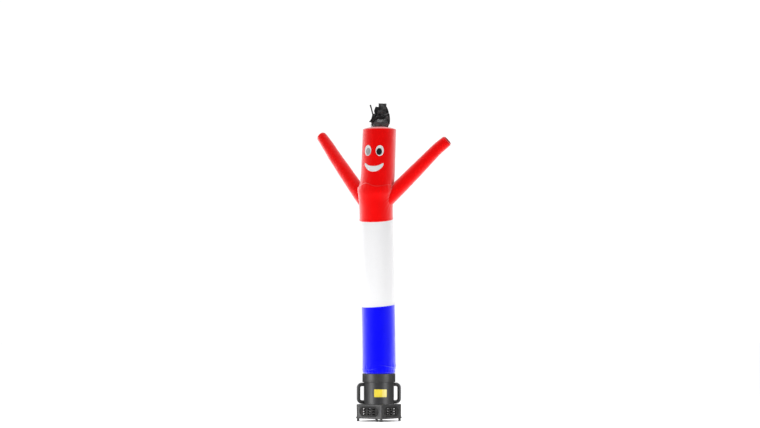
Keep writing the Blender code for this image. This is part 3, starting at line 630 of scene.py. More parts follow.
def relief(height, bearing, points):
    """How far the cloth stands out from the plain tube."""
    angle = np.radians(bearing)
    total = folds(height, bearing)
    free = smooth_step(height, COLLAR_TOP, COLLAR_TOP + 0.012)
    below_rim = 1.0 - smooth_step(height, 1.950, RIM_LOW)
    tall = points * np.array([1.0, 1.0, 0.45])

    # gathers where the collar pinches the hem
    gather = free * np.exp(-np.clip(height - COLLAR_TOP - 0.012, 0, None) / 0.026)
    pleat = np.cos(angle * 27 + 2.2 * lump(points, 0.07, 1)) * 0.7 + np.cos(angle * 41 + 1.0) * 0.3
    total = total + gather * pleat * 0.0011

    # puckers along the seams, the neck's crease and the rim
    for line, reach, depth in PUCKERS:
        off = np.abs(height - slanted(line.height, line.slant, bearing)) / reach
        pull = np.cos(angle * 34 + 3.0 * lump(points, 0.05, 2)) * np.exp(-off)
        total = total + pull * depth * (0.55 + 0.45 * lump(points, 0.09, 3))

    # soft waves of the blown-up cloth, and small crinkles that are stronger by the creases
    near_fold = np.exp(-(((height - 0.368) / 0.035) ** 2)) + 0.8 * np.exp(
        -(((height - 1.59) / 0.05) ** 2)
    )
    total = total + free * below_rim * (
        0.0011 * lump(tall, 0.085, 4)
        + 0.0004 * lump(points, 0.035, 5)
        + (0.00022 + 0.0007 * near_fold) * crease(tall, 0.030, 6)
    )

    # star of puckers round each sleeve's root
    for table in SLEEVE_TABLES.values():
        start, onward = table[1, 1:4] + AXIS, table[2, 1:4] + AXIS
        along = unit(onward - start)
        reach = points - start
        off_axis = reach - along * (reach @ along)[..., None]
        distance = np.linalg.norm(off_axis, axis=-1)
        across = unit(np.cross(along, np.array([0.0, 0.0, 1.0])))
        turn = np.arctan2(off_axis @ np.cross(along, across), off_axis @ across)
        close = np.where((reach @ along > -0.10) & (reach @ along < 0.12), 1.0, 0.0)
        star = close * np.exp(-np.clip(distance - 0.050, 0, None) / 0.020)
        total = total + star * 0.0007 * np.cos(turn * 19 + 2.5 * lump(points, 0.06, 7))

    # two layers of cloth in the seam down the back
    off_seam = np.abs(turned(bearing, BACK_SEAM)) * math.pi / 180 * TUBE_RADIUS
    total = total + free * below_rim * CLOTH * (1.0 - smooth_step(off_seam, 0.0036, 0.0050))
    return total


def tube(height, bearing, offset=0.0):
    """Points on the outer face of the cloth, moved out by offset."""
    height, bearing = np.broadcast_arrays(
        np.asarray(height, float), np.asarray(bearing, float)
    )
    middle, front, side, _, radius = tube_frame(height)
    angle = np.radians(bearing)[..., None]
    outward = np.cos(angle) * front + np.sin(angle) * side
    points = middle + outward * radius[..., None]
    return points + outward * (relief(height, bearing, points) + offset)[..., None]


def tube_normal(height, bearing):
    """Outward direction of the plain tube."""
    _, front, side, _, _ = tube_frame(np.asarray(height, float))
    angle = np.radians(bearing)[..., None]
    return np.cos(angle) * front + np.sin(angle) * side


def off_tube(points):
    """How far points are outside the cloth, with their height and bearing on it."""
    height = points[..., 2].copy()
    for _ in range(4):
        middle, front, side, up, radius = tube_frame(height)
        height = height + ((points - middle) * up).sum(-1) * up[..., 2]
    reach = points - middle
    bearing = np.degrees(np.arctan2((reach * side).sum(-1), (reach * front).sum(-1)))
    angle = np.radians(bearing)[..., None]
    outward = np.cos(angle) * front + np.sin(angle) * side
    surface = middle + outward * radius[..., None]
    distance = (reach * outward).sum(-1) - radius - relief(height, bearing, surface)
    return distance, height, bearing


# Making and placing pieces

def ride(piece, slot, *nodes):
    """Moves a piece with the root body and hides the CAD nodes it stands for; slot, its finish, is
    not used.
    """
    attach(piece, "root")
    if nodes:
        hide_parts(*nodes)
    return piece


def apply(piece, kind, **settings):
    """Adds a modifier and applies it."""
    alone(piece)
    step = piece.modifiers.new(kind.lower(), kind)
    for name, value in settings.items():
        setattr(step, name, value)
    bpy.ops.object.modifier_apply(modifier=step.name)


def alone(piece):
    """Selects one object and nothing else."""
    bpy.ops.object.select_all(action="DESELECT")
    piece.select_set(True)
    bpy.context.view_layer.objects.active = piece


def add_piece(name, mesh, finish):
    """Object for a mesh that is made in place."""
    piece = bpy.data.objects.new(name, mesh)
    bpy.context.collection.objects.link(piece)
    mesh.materials.append(finish)
    mesh.shade_smooth()
    return piece


def grid_mesh(name, points, right, up, wrap=True):
    """Rows and columns of points as a mesh, with the flat cloth's own metres as its UV map. right
    has a value for each column, and one more where the rows close, and up has one for each row."""
    rows, columns = points.shape[:2]
    row, column = np.meshgrid(
        np.arange(rows - 1), np.arange(columns if wrap else columns - 1), indexing="ij"
    )
    row, column = row.ravel(), column.ravel()
    after = (column + 1) % columns
    quads = np.stack([
        row * columns + column, row * columns + after,
        (row + 1) * columns + after, (row + 1) * columns + column,
    ], -1)
    mesh = bpy.data.meshes.new(name)
    mesh.from_pydata(points.reshape(-1, 3).tolist(), [], quads.tolist())
    flat = mesh.uv_layers.new(name="cloth")
    right, up = np.asarray(right), np.asarray(up)
    places = np.stack([
        np.stack([right[column], right[column + 1], right[column + 1], right[column]], -1),
        np.stack([up[row], up[row], up[row + 1], up[row + 1]], -1),
    ], -1)
    flat.data.foreach_set("uv", places.ravel().astype(np.float32))
    mesh.update()
    return mesh


def rows_between(start, end, pitch, close_to=(), fine=0.0012, reach=0.012):
    """Heights from start to end, about pitch apart and closer together by certain heights."""
    samples = np.linspace(start, end, 4000)
    density = np.full_like(samples, 1.0 / pitch)
    for height in close_to:
        density += (1.0 / fine) * np.exp(-(((samples - height) / reach) ** 2))
    total = np.concatenate([[0.0], np.cumsum((density[1:] + density[:-1]) / 2 * np.diff(samples))])
    count = int(round(total[-1]))
    return np.interp(np.linspace(0.0, total[-1], count + 1), total, samples)


def round_columns(count=176):
    """Bearings all the way round, closer together by the seam down the back."""
    even = np.arange(count) * 360.0 / count
    even = even[np.abs(turned(even, BACK_SEAM)) > 4.0]
    beside = np.array([1.0, 1.75, 2.1, 2.45, 2.8, 3.6])
    return np.sort(np.concatenate([even, BACK_SEAM - beside, [BACK_SEAM], BACK_SEAM + beside]))


def make_length(name, node, finish, slot, low, high, low_seam, high_seam, close_to):
    """One sewn length of the tube. Its foot laps over the length below, and its top runs up
    under the length above."""
    bearings = round_columns()
    top = high + (LAP if high_seam else 0.0)
    heights = rows_between(low, top, 0.0048, close_to)
    share = ((heights - low) / (top - low))[:, None]
    low_slant = low_seam.slant if low_seam else 0.0
    high_slant = high_seam.slant if high_seam else 0.0
    rise = np.cos(np.radians(bearings - RIGHT_BEARING))[None, :]
    height = heights[:, None] + rise * (low_slant * (1 - share) + high_slant * share)
    offset = np.zeros_like(height)
    if low_seam:
        over = height - slanted(low_seam.height, low_seam.slant, bearings[None, :])
        offset = LAP_PROUD * (1.0 - smooth_step(over, LAP + 0.001, LAP + 0.008))
    points = tube(height, bearings[None, :] + 0 * height, offset)
    right = np.radians(np.append(bearings, bearings[0] + 360.0)) * TUBE_RADIUS
    piece = add_piece(name, grid_mesh(name, points, right, heights), finish)
    apply(piece, "SOLIDIFY", thickness=CLOTH, offset=-1.0)
    ride(piece, slot, node)
    return piece


def stitches(name, finish, slot, points, ahead, outward, length=0.0026, width=0.0007):
    """A row of short stitches lying on the cloth, each one a small oval bead."""
    bead = bpy.data.meshes.new("bead")
    build = bmesh.new()
    bmesh.ops.create_icosphere(build, subdivisions=1, radius=0.5)
    build.to_mesh(bead)
    build.free()
    shape = np.array([vertex.co for vertex in bead.vertices])
    faces = np.array([tuple(face.vertices) for face in bead.polygons])
    bpy.data.meshes.remove(bead)
    ahead = unit(ahead - outward * (ahead * outward).sum(-1, keepdims=True))
    across = np.cross(outward, ahead)
    places = (
        points[:, None, :]
        + shape[None, :, :1] * ahead[:, None, :] * length
        + shape[None, :, 1:2] * across[:, None, :] * width
        + shape[None, :, 2:] * outward[:, None, :] * width
    )
    corners = faces[None] + (np.arange(len(points)) * len(shape))[:, None, None]
    mesh = bpy.data.meshes.new(name)
    mesh.from_pydata(places.reshape(-1, 3).tolist(), [], corners.reshape(-1, 3).tolist())
    return ride(add_piece(name, mesh, finish), slot)


def even_places(points, pitch):
    """Places a pitch apart along a line of points, as row numbers with fractions."""
    steps = np.linalg.norm(np.diff(points, axis=0), axis=1)
    along = np.concatenate([[0.0], np.cumsum(steps)])
    count = int(along[-1] / pitch)
    return np.interp((np.arange(count) + 0.5) * along[-1] / count, along, np.arange(len(points)))


def spaced(points, outward, pitch):
    """Points a pitch apart along a line, with the way ahead and outward at each."""
    at = even_places(points, pitch)
    low = np.floor(at).astype(int)
    part = (at - low)[:, None]
    here = points[low] * (1 - part) + points[low + 1] * part
    normal = unit(outward[low] * (1 - part) + outward[low + 1] * part)
    return here, unit(points[low + 1] - points[low]), normal


def stitch_line(name, finish, slot, points, outward, pitch=0.0037):
    """Stitches along a line of points on the cloth."""
    return stitches(name, finish, slot, *spaced(points, outward, pitch))


def round_stitches(name, finish, slot, seam, above, lift):
    """Stitches all round the tube, a little above a seam."""
    bearings = np.linspace(0.0, 360.0, 361)
    heights = slanted(seam.height, seam.slant, bearings) + above
    points = tube(heights, bearings, lift)
    return stitch_line(name, finish, slot, points, tube_normal(heights, bearings))


def join(name, pieces):
    """Joins pieces of one finish into one."""
    bpy.ops.object.select_all(action="DESELECT")
    for piece in pieces:
        piece.select_set(True)
    bpy.context.view_layer.objects.active = pieces[0]
    bpy.ops.object.join()
    pieces[0].name = name
    return pieces[0]


def make_tube():
    """The three lengths with their stitched seams. The red one has a hole under each sleeve."""
    blue = make_length(
        "blue_cloth_length", "blue_length", NYLON["blue"], "blue_cloth",
        HEM_START, BLUE_SEAM.height, None, BLUE_SEAM, (0.328, 0.348, 0.366, 0.384, 0.786),
    )
    white = make_length(
        "white_cloth_length", "white_length", NYLON["white"], "white_cloth",
        BLUE_SEAM.height, RED_SEAM.height, BLUE_SEAM, RED_SEAM, (0.787, 1.366),
    )
    red = make_length(
        "red_cloth_length", "red_length", NYLON["red"], "red_cloth",
        RED_SEAM.height, RIM_TOP, RED_SEAM, None, (1.367, 1.585, 1.598, 1.972),
    )
    holes = []
    for name, table in SLEEVE_TABLES.items():
        bpy.ops.object.select_all(action="DESELECT")
        start, onward = Vector(table[1, 1:4] + AXIS), Vector(table[2, 1:4] + AXIS)
        along = (onward - start).normalized()
        bpy.ops.mesh.primitive_cylinder_add(
            vertices=64, radius=float(table[1, 4]) - 0.004, depth=0.12,
            location=start, rotation=along.to_track_quat("Z", "Y").to_euler(),
        )
        holes.append(bpy.context.object)
    bore = join("arm_holes", holes)
    apply(red, "BOOLEAN", operation="DIFFERENCE", solver="EXACT", object=bore)
    bpy.data.objects.remove(bore)

    blue_seam, red_seam = (
        join(f"{name}_seam_stitches", [
            round_stitches(f"row_{row}", THREAD[colour], colour + "_cloth", seam, above,
                           LAP_PROUD + ON_CLOTH)
            for row, above in enumerate(STITCH_ROWS)
        ])
        for name, colour, seam in (("blue", "white", BLUE_SEAM), ("red", "red", RED_SEAM))
    )
    for colour, low, high in (
        ("blue", 0.331, BLUE_SEAM.height - 0.012),
        ("white", BLUE_SEAM.height + 0.012, RED_SEAM.height - 0.011),
        ("red", RED_SEAM.height + 0.012, 1.955),
    ):
        heights = np.linspace(low, high, 240)
        rows = []
        for side in (-BACK_ROW, BACK_ROW):
            bearings = np.full_like(heights, BACK_SEAM + side)
            points = tube(heights, bearings, ON_CLOTH)
            rows.append(stitch_line(f"back_{side}", THREAD[colour], colour + "_cloth", points,
                                    tube_normal(heights, bearings)))
        join(f"{colour}_back_stitches", rows)


def sleeve_frame(table):
    """Even places along a sleeve with its middle line, two directions across it and radius."""
    along = np.linspace(table[0, 0], table[-1, 0], 241)
    line = smooth_curve(table, along)
    middle, radius = line[:, 1:4] + AXIS, line[:, 4]
    ahead = unit(np.gradient(middle, axis=0))
    across = np.zeros_like(ahead)
    across[0] = unit(np.cross(ahead[0], np.array([0.0, 0.0, 1.0])))
    for place in range(1, len(ahead)):
        level = across[place - 1] - ahead[place] * (across[place - 1] @ ahead[place])
        across[place] = unit(level)
    return along, middle, ahead, across, np.cross(ahead, across), radius


def read_frame(sleeve, at):
    """The same at any place along."""
    along, *columns = sleeve
    return [
        np.interp(at, along, column) if column.ndim == 1
        else np.stack([np.interp(at, along, column[:, axis]) for axis in range(3)], -1)
        for column in columns
    ]


def sleeve_points(sleeve, at, turn, offset=0.0):
    """Points on a sleeve's outer face."""
    middle, _, across, other, radius = read_frame(sleeve, at)
    outward = np.cos(turn)[..., None] * across + np.sin(turn)[..., None] * other
    return middle + outward * (radius + offset)[..., None], outward


def sleeve_relief(at, root, end, turn, points, seed):
    """Puckers at a sleeve's root, soft waves along it, the doubled cloth of its hem and its
    drawn-in end."""
    from_root, to_end = at - root, end - at
    round_root = np.cos(turn * 17 + 2.5 * lump(points, 0.05, seed))
    pucker = 0.0007 * round_root * np.exp(-from_root / 0.022)
    waves = 0.0012 * lump(points * 0.6, 0.045, seed + 1)
    waves = waves + 0.0006 * crease(points, 0.028, seed + 2)
    hem = CLOTH * (1.0 - smooth_step(to_end, HEM_WIDTH - 0.0005, HEM_WIDTH + 0.0010))
    round_hem = np.cos(turn * 23 + 2.0 * lump(points, 0.04, seed + 3))
    tuck = 0.0005 * round_hem * np.exp(-np.abs(to_end - HEM_WIDTH) / 0.008)
    droop = 0.0022 * np.cos(turn * 2 + seed) * np.exp(-to_end / 0.05)
    drawn = -0.0055 * np.exp(-to_end / 0.006)
    return pucker + waves * smooth_step(from_root, 0.0, 0.02) + hem + tuck + droop + drawn


def make_sleeves():
    """Two open sleeves, sewn to the tube at their roots and hemmed at their ends."""
    turn = np.arange(SLEEVE_COLUMNS) * 2 * math.pi / SLEEVE_COLUMNS
    whole_turn = np.append(turn, 2 * math.pi)
    closed = np.linspace(0.0, 2 * math.pi, 181)
    for number, (name, table) in enumerate(SLEEVE_TABLES.items()):
        sleeve, end, seed = sleeve_frame(table), table[-1, 0], 11 + 10 * number
        # each line along the sleeve starts where it comes out of the tube, found by halving
        near, far = np.full(SLEEVE_COLUMNS, -0.075), np.full(SLEEVE_COLUMNS, 0.13)
        for _ in range(26):
            half = (near + far) / 2
            points, _ = sleeve_points(sleeve, half, turn)
            inside = off_tube(points)[0] < ROOT_GAP
            near, far = np.where(inside, half, near), np.where(inside, far, half)
        root = (near + far) / 2
        share = rows_between(0.0, 1.0, 0.0125, (0.0, 0.96), 0.004, 0.05)[:, None]
        at = root[None, :] + (end - root)[None, :] * share
        all_turns = np.broadcast_to(turn[None, :], at.shape)
        plain_points, outward = sleeve_points(sleeve, at, all_turns)
        rise = sleeve_relief(at, root[None, :], end, all_turns, plain_points, seed)
        points = plain_points + outward * rise[..., None]
        # the first row lies on the tube, and the next ones ease from there
        _, height, bearing = off_tube(points[0])
        seat = tube(height, bearing, ROOT_GAP)
        ease = np.exp(-((at - root[None, :]) / ROOT_EASE))[..., None]
        points = points + (seat - points[0])[None] * ease
        # no row may dip into the tube's cloth
        distance, _, dip_bearing = off_tube(points[:40])
        lift = np.clip(ROOT_GAP - distance, 0.0, 0.004)[..., None]
        points[:40] += lift * tube_normal(points[:40, :, 2], dip_bearing)
        mesh = grid_mesh(name + "_sleeve", points, whole_turn * SLEEVE_RADIUS,
                         share[:, 0] * (end + 0.02))
        piece = add_piece(name + "_sleeve", mesh, NYLON["red"])
        apply(piece, "SOLIDIFY", thickness=CLOTH, offset=-1.0)
        ride(piece, "red_cloth", name)

        start = np.interp(closed, whole_turn, np.append(root, root[0]))
        first, first_out = sleeve_points(sleeve, start, closed)
        _, height, bearing = off_tube(first)
        first_rise = sleeve_relief(start, start, end, closed, first, seed)
        shift = tube(height, bearing, ROOT_GAP) - (first + first_out * first_rise[:, None])
        rows = []
        for label, place, ease in (
            ("root", start + ROOT_STITCHES, math.exp(-ROOT_STITCHES / ROOT_EASE)),
            ("hem", np.full_like(closed, end - HEM_STITCHES), 0.0),
        ):
            line, out = sleeve_points(sleeve, place, closed)
            lift = sleeve_relief(place, start, end, closed, line, seed) + ON_CLOTH
            line = line + out * lift[:, None] + shift * ease
            rows.append(
                stitch_line(f"{name}_{label}", THREAD["red"], "red_cloth", line, out, 0.0034)
            )
        seam = join(name + "_stitches", rows)
        float(end - root.mean())


def crown_place(bearing, share, offset=0.0):
    """Points on the crown; share runs from its middle, 0, to its rim, 1."""
    middle, front, side, up, _ = tube_frame(np.array(BODY[-1, 0]))
    angle = np.radians(bearing)[..., None]
    outward = np.cos(angle) * front + np.sin(angle) * side
    share = np.asarray(share)[..., None]
    dome = outward * (RIM_RADIUS - 0.0006) * share + up * CROWN_RISE * (1 - share**2)
    points, share = middle + dome, share[..., 0]
    rim = np.exp(-(1 - share) / 0.09) * (1 - smooth_step(share, 0.97, 1.0))
    rise = 0.0007 * np.cos(np.radians(bearing) * 38 + 2 * lump(points, 0.04, 41)) * rim
    soft = (1 - smooth_step(share, 0.85, 1.0)) * smooth_step(share, 0.0, 0.1)
    waves = 0.0008 * lump(points, 0.04, 42) + 0.0005 * crease(points, 0.03, 43)
    return points + up * (rise + soft * waves + offset)[..., None]


def disc_mesh(name, points, right, up):
    """Rings of points from an edge inwards, closed in the middle."""
    mesh = grid_mesh(name, points, right, up)
    build = bmesh.new()
    build.from_mesh(mesh)
    build.verts.ensure_lookup_table()
    bmesh.ops.contextual_create(build, geom=build.verts[-points.shape[1]:])
    build.to_mesh(mesh)
    build.free()
    return mesh


def make_crown():
    """Round domed piece that closes the head, with its stitched rim."""
    bearings = np.linspace(0.0, 360.0, 144, endpoint=False)
    shares = np.concatenate([np.linspace(1.0, 0.9, 9), np.linspace(0.88, 0.02, 24)])
    grid_bearings, grid_shares = np.meshgrid(bearings, shares)
    points = crown_place(grid_bearings, grid_shares)
    right = np.radians(np.append(bearings, 360.0)) * RIM_RADIUS
    piece = add_piece(
        "crown_cloth", disc_mesh("crown_cloth", points, right, shares * RIM_RADIUS), NYLON["red"]
    )
    apply(piece, "SOLIDIFY", thickness=CLOTH, offset=-1.0)
    ride(piece, "red_cloth", "crown")
    closed = np.linspace(0.0, 360.0, 361)
    rim_low = np.full_like(closed, RIM_LOW)
    rim = tube(rim_low, closed, ON_CLOTH)
    outward = unit(tube_normal(rim_low, closed) + np.array([0, 0, 1.0]))
    seam = stitch_line("crown_stitches", THREAD["red"], "red_cloth", rim, outward)


def facets(rows, columns, down, along, seed, closed=False):
    """Heights from -1 to 1 on a grid, as on crumpled cloth: flat facets with straight creases
    between them, about down facets by along."""
    draw = np.random.default_rng(seed)
    corner = draw.uniform(-1.0, 1.0, (down + 1, along + 1))
    if closed:
        corner[:, -1] = corner[:, 0]
    at_row, at_column = np.meshgrid(
        np.linspace(0, down, rows),
        np.linspace(0, along, columns, endpoint=not closed), indexing="ij",
    )
    wander = lump(np.stack([at_row, at_column, at_row * 0], -1), 1.3, seed)
    if closed:
        wander = wander * np.sin(math.pi * at_column / along) ** 2
    at_row = np.clip(at_row + 0.45 * wander, 0, down)
    at_column = np.clip(at_column + 0.45 * wander, 0, along)
    row = np.minimum(at_row.astype(int), down - 1)
    column = np.minimum(at_column.astype(int), along - 1)
    at_row, at_column = at_row - row, at_column - column
    low, low_next = corner[row, column], corner[row, column + 1]
    high, high_next = corner[row + 1, column], corner[row + 1, column + 1]
    first = low + at_column * (low_next - low) + at_row * (high - low)
    second = (
        high_next + (1 - at_column) * (high - high_next) + (1 - at_row) * (low_next - high_next)
    )
    return np.where(at_row + at_column < 1.0, first, second)


def make_hair():
    """Crumpled strips of thin black cloth, sewn to the crown in one tuft inside a band."""
    middle, front, side, up, _ = tube_frame(np.array(BODY[-1, 0]))
    bearings = np.linspace(0.0, 360.0, 96, endpoint=False)
    shares = np.linspace(TUFT_PATCH, 0.02, 16)
    grid_bearings, grid_shares = np.meshgrid(bearings, shares)
    points = crown_place(grid_bearings, grid_shares, 0.0015)
    ring = smooth_step(grid_shares, 0.44, TUFT_PATCH)
    points = points + up * (0.0032 - 0.0022 * ring)[..., None]
    right = np.radians(np.append(bearings, 360.0)) * RIM_RADIUS * TUFT_PATCH
    patch = add_piece(
        "hair_patch", disc_mesh("hair_patch", points, right, shares * RIM_RADIUS), NYLON["black"]
    )
    apply(patch, "SOLIDIFY", thickness=TUFT_PATCH_THICK, offset=-1.0)
    ride(patch, "black_cloth", "hair")

    base = middle + up * (CROWN_RISE + 0.002)

    def on_crown(right, ahead, height):
        """Places by how far right, ahead and up they are from the crown's middle."""
        fall = CROWN_RISE * (right**2 + ahead**2) / RIM_RADIUS**2
        return (
            base + side * right[..., None] + front * ahead[..., None]
            + up * (height - np.clip(fall, 0.0, 0.008))[..., None]
        )

    columns, rows = 132, 26
    turn = np.arange(columns)[None, :] * 2 * math.pi / columns
    share = np.linspace(0.0, 1.0, rows)[:, None]
    radius = np.interp(share, *np.array(BAND).T)
    free = smooth_step(share, 0.0, 0.2)
    radius = radius + free * (
        0.0055 * facets(rows, columns, 3, 13, 301, True)
        + 0.0016 * facets(rows, columns, 6, 34, 302, True)
    )
    height = BAND_TALL * share * (1.0 + 0.22 * facets(1, columns, 1, 11, 303, True))
    points = on_crown(BAND_RIGHT * share + radius * np.sin(turn), radius * np.cos(turn), height)
    flat_right = np.append(turn[0], 2 * math.pi) / (2 * math.pi) * BAND_ROUND
    mesh = grid_mesh("hair_band", points, flat_right, share[:, 0] * BAND_TALL)
    band = add_piece("hair_band", mesh, NYLON["black"])
    apply(band, "SOLIDIFY", thickness=TUFT_CLOTH, offset=0.0)
    ride(band, "black_cloth")

    rows, columns = 60, 18
    share = np.linspace(0.0, 1.0, rows)
    spread = np.linspace(-0.5, 0.5, columns)
    for number, strip in enumerate(STRIPS):
        seed = 50 + 10 * number
        out = np.where(share < strip.at, share / strip.at, (1 - share) / (1 - strip.at))
        out = np.sin(out * math.pi / 2)
        line = on_crown(
            strip.right + strip.tip_right * share + strip.swing * out,
            strip.front + strip.tip_front * share + strip.swing_front * out,
            strip.foot + strip.tall * share,
        )
        flat = math.radians(strip.turn)
        face = math.sin(flat) * side + math.cos(flat) * front
        across = unit(np.cross(unit(np.gradient(line, axis=0)), face))[:, None, :]
        run = float(np.linalg.norm(line[-1] - line[0]))
        wide, long = max(2, round(strip.width / 0.024)), max(2, round(run / 0.030))
        width = strip.width * (1.0 - strip.point * share)[:, None]
        edge = 1.0 + 0.16 * facets(rows, columns, long, 1, seed + 1)
        points = line[:, None, :] + across * (spread[None, :] * width * edge)[..., None]
        free = smooth_step(share, 0.0, 0.12)[:, None] if strip.foot == 0.0 else 1.0
        bend = strip.rough * (
            facets(rows, columns, long, wide, seed + 2)
            + 0.22 * facets(rows, columns, 2 * long, 2 * wide, seed + 3)
        )
        slide = 0.5 * strip.rough * facets(rows, columns, long, wide, seed + 4)
        dip = 0.35 * strip.rough * facets(rows, columns, long, wide, seed + 5)
        points = points + face * (bend * free)[..., None] + across * (slide * free)[..., None]
        points = points + up * (dip * share[:, None])[..., None]
        middle_line = points[:, columns // 2]
        length = float(np.linalg.norm(np.diff(middle_line, axis=0), axis=1).sum())
        name = f"hair_strip_{number + 1:02d}"
        mesh = grid_mesh(name, points, spread * strip.width, share * length, wrap=False)
        piece = add_piece(name, mesh, NYLON[strip.cloth])
        apply(piece, "SOLIDIFY", thickness=TUFT_CLOTH, offset=0.0)
        ride(piece, "black_cloth")


def outline_of(points):
    """Closed line round the edge of a grid of points that doesn't wrap."""
    return np.concatenate([points[0, :-1], points[:-1, -1], points[-1, :0:-1], points[:0:-1, 0]])


def satin_edge(name, finish, slot, heights, bearings, lift):
    """Dense zigzag stitching over a patch's edge: a low cord with a rib for every thread."""
    points = tube(heights, bearings, lift)
    line, _, normal = spaced(points, tube_normal(heights, bearings), EDGE_PITCH)
    ahead = unit(np.roll(line, -1, axis=0) - np.roll(line, 1, axis=0))
    across = np.cross(normal, ahead)
    rib = 1.0 + 0.10 * np.where(np.arange(len(line)) % 2 == 0, 1.0, -1.0)
    turn = np.linspace(0.0, 2 * math.pi, 8, endpoint=False)
    rings = line[:, None] + (
        across[:, None] * (np.cos(turn)[None, :] * EDGE_WIDTH * rib[:, None])[..., None]
        + normal[:, None] * (np.sin(turn)[None, :] * EDGE_HIGH * rib[:, None])[..., None]
    )
    rings = np.concatenate([rings, rings[:1]])
    up = np.arange(len(rings)) * EDGE_PITCH
    mesh = grid_mesh(name, rings[:, ::-1], np.append(turn, 2 * math.pi) * 0.001, up)
    build = bmesh.new()
    build.from_mesh(mesh)
    bmesh.ops.remove_doubles(build, verts=build.verts, dist=0.00002)
    bmesh.ops.recalc_face_normals(build, faces=build.faces)
    build.to_mesh(mesh)
    build.free()
    return ride(add_piece(name, mesh, finish), slot)


def make_oval(name, colour, slot, bearing, height, width, tall, lift):
    """Oval patch with a stitched edge, lying on the head."""
    rings = np.linspace(1.0, 0.06, 14)
    turn = np.linspace(0.0, 2 * math.pi, 64, endpoint=False)
    half_angle = math.degrees(width / 2 / FACE_RADIUS)
    bearings = bearing + half_angle * rings[:, None] * np.sin(turn)[None, :]
    heights = height - tall / 2 * rings[:, None] * np.cos(turn)[None, :]
    points = tube(heights, bearings, lift)
    right = np.append(turn, 2 * math.pi) * width / 2
    mesh = disc_mesh(name, points, right, rings * tall / 2)
    piece = add_piece(name, mesh, NYLON[colour])
    write_flat(mesh)
    apply(piece, "SOLIDIFY", thickness=PATCH_THICK, offset=1.0)
    ride(piece, slot, name.replace("_patch", ""))
    closed = np.append(turn, 2 * math.pi)
    edge_bearings = bearing + half_angle * np.sin(closed) * EDGE_INSET
    edge_heights = height - tall / 2 * np.cos(closed) * EDGE_INSET
    edge = satin_edge(name.replace("_patch", "_edge"), THREAD[colour], slot,
                      edge_heights, edge_bearings, lift + PATCH_THICK)


def write_flat(mesh):
    """Gives a patch its flat metres by where it lies on the head, so its weave is level."""
    places = np.array([vertex.co for vertex in mesh.vertices])
    _, height, bearing = off_tube(places)
    table = np.stack([np.radians(bearing) * TUBE_RADIUS, height], -1)
    corners = np.zeros(len(mesh.loops), dtype=np.int64)
    mesh.loops.foreach_get("vertex_index", corners)
    mesh.uv_layers["cloth"].data.foreach_set("uv", table[corners].ravel().astype(np.float32))


def make_mouth():
    """Smiling mouth: a bowed patch with round ends."""
    columns, rows = 72, 11
    share = -np.cos(math.pi * np.arange(columns + 1) / columns)
    round_end = np.sqrt(np.clip(1.0 - np.abs(share) ** MOUTH_BLUNT, 0.0, 1.0))
    full = MOUTH_TIP_THICK + (MOUTH_THICK - MOUTH_TIP_THICK) * (1.0 - share**2)
    low = MOUTH_BOTTOM + (MOUTH_TIP - MOUTH_BOTTOM) * np.abs(share) ** MOUTH_BOW
    low = low + full * (1.0 - round_end) / 2
    thick = np.maximum(full * round_end, 0.0008)
    up = np.linspace(0.0, 1.0, rows)[:, None]
    heights = low[None, :] + thick[None, :] * up
    bearings = np.broadcast_to(MOUTH_BEARING + MOUTH_HALF_ANGLE * share[None, :], heights.shape)
    points = tube(heights, bearings, PATCH_LIFT)
    mesh = grid_mesh("mouth_patch", points, share, up[:, 0], wrap=False)
    write_flat(mesh)
    piece = add_piece("mouth_patch", mesh, NYLON["white"])
    apply(piece, "SOLIDIFY", thickness=PATCH_THICK, offset=1.0)
    ride(piece, "white_cloth", "mouth")
    edge = satin_edge(
        "mouth_edge", THREAD["white"], "white_cloth",
        np.append(outline_of(heights), heights[0, 0]),
        np.append(outline_of(bearings), bearings[0, 0]), PATCH_LIFT + PATCH_THICK,
    )


def make_face():
    """Eyes with their pupils sewn on, and the mouth."""
    for side, name, colour, slot in (
        (-1, "left", "grey", "grey_cloth"), (1, "right", "ink_and_painted_shade", "black_cloth"),
    ):
        bearing = FACE_BEARING + side * EYE_SPREAD
        make_oval(f"eye_{name}_patch", "white", "white_cloth", bearing, EYE_HEIGHT,
                  EYE_WIDTH, EYE_TALL, PATCH_LIFT)
        make_oval(f"pupil_{name}_patch", colour, slot, FACE_BEARING + side * PUPIL_SPREAD,
                  EYE_HEIGHT - PUPIL_DROP, PUPIL_WIDTH, PUPIL_TALL, PUPIL_LIFT)
    make_mouth()


# The blower, modelled from primitives

def begin(add, name, **settings):
    """Adds a primitive with nothing else selected, and opens it in edit mode."""
    bpy.ops.object.select_all(action="DESELECT")
    add(**settings)
    piece = bpy.context.object
    piece.name = name
    piece.data.name = name
    bpy.ops.object.transform_apply(location=True, rotation=True, scale=True)
    bpy.ops.object.mode_set(mode="EDIT")
    return piece


def pick(kind, test):
    """Selects the vertices, edges or faces that pass a test, and nothing else."""
    bpy.ops.mesh.select_mode(type=kind)
    bpy.ops.mesh.select_all(action="DESELECT")
    mesh = bpy.context.edit_object.data
    build = bmesh.from_edit_mesh(mesh)
    items = {"VERT": build.verts, "EDGE": build.edges, "FACE": build.faces}[kind]
    for item in items:
        if test(item):
            item.select_set(True)
    build.select_flush_mode()
    bmesh.update_edit_mesh(mesh)


def close_edit(piece, finish=None):
    """Merges doubles, turns the faces outwards and leaves edit mode."""
    bpy.ops.mesh.select_all(action="SELECT")
    bpy.ops.mesh.remove_doubles(threshold=0.00001)
    bpy.ops.mesh.normals_make_consistent(inside=False)
    bpy.ops.object.mode_set(mode="OBJECT")
    if finish:
        piece.data.materials.append(finish)


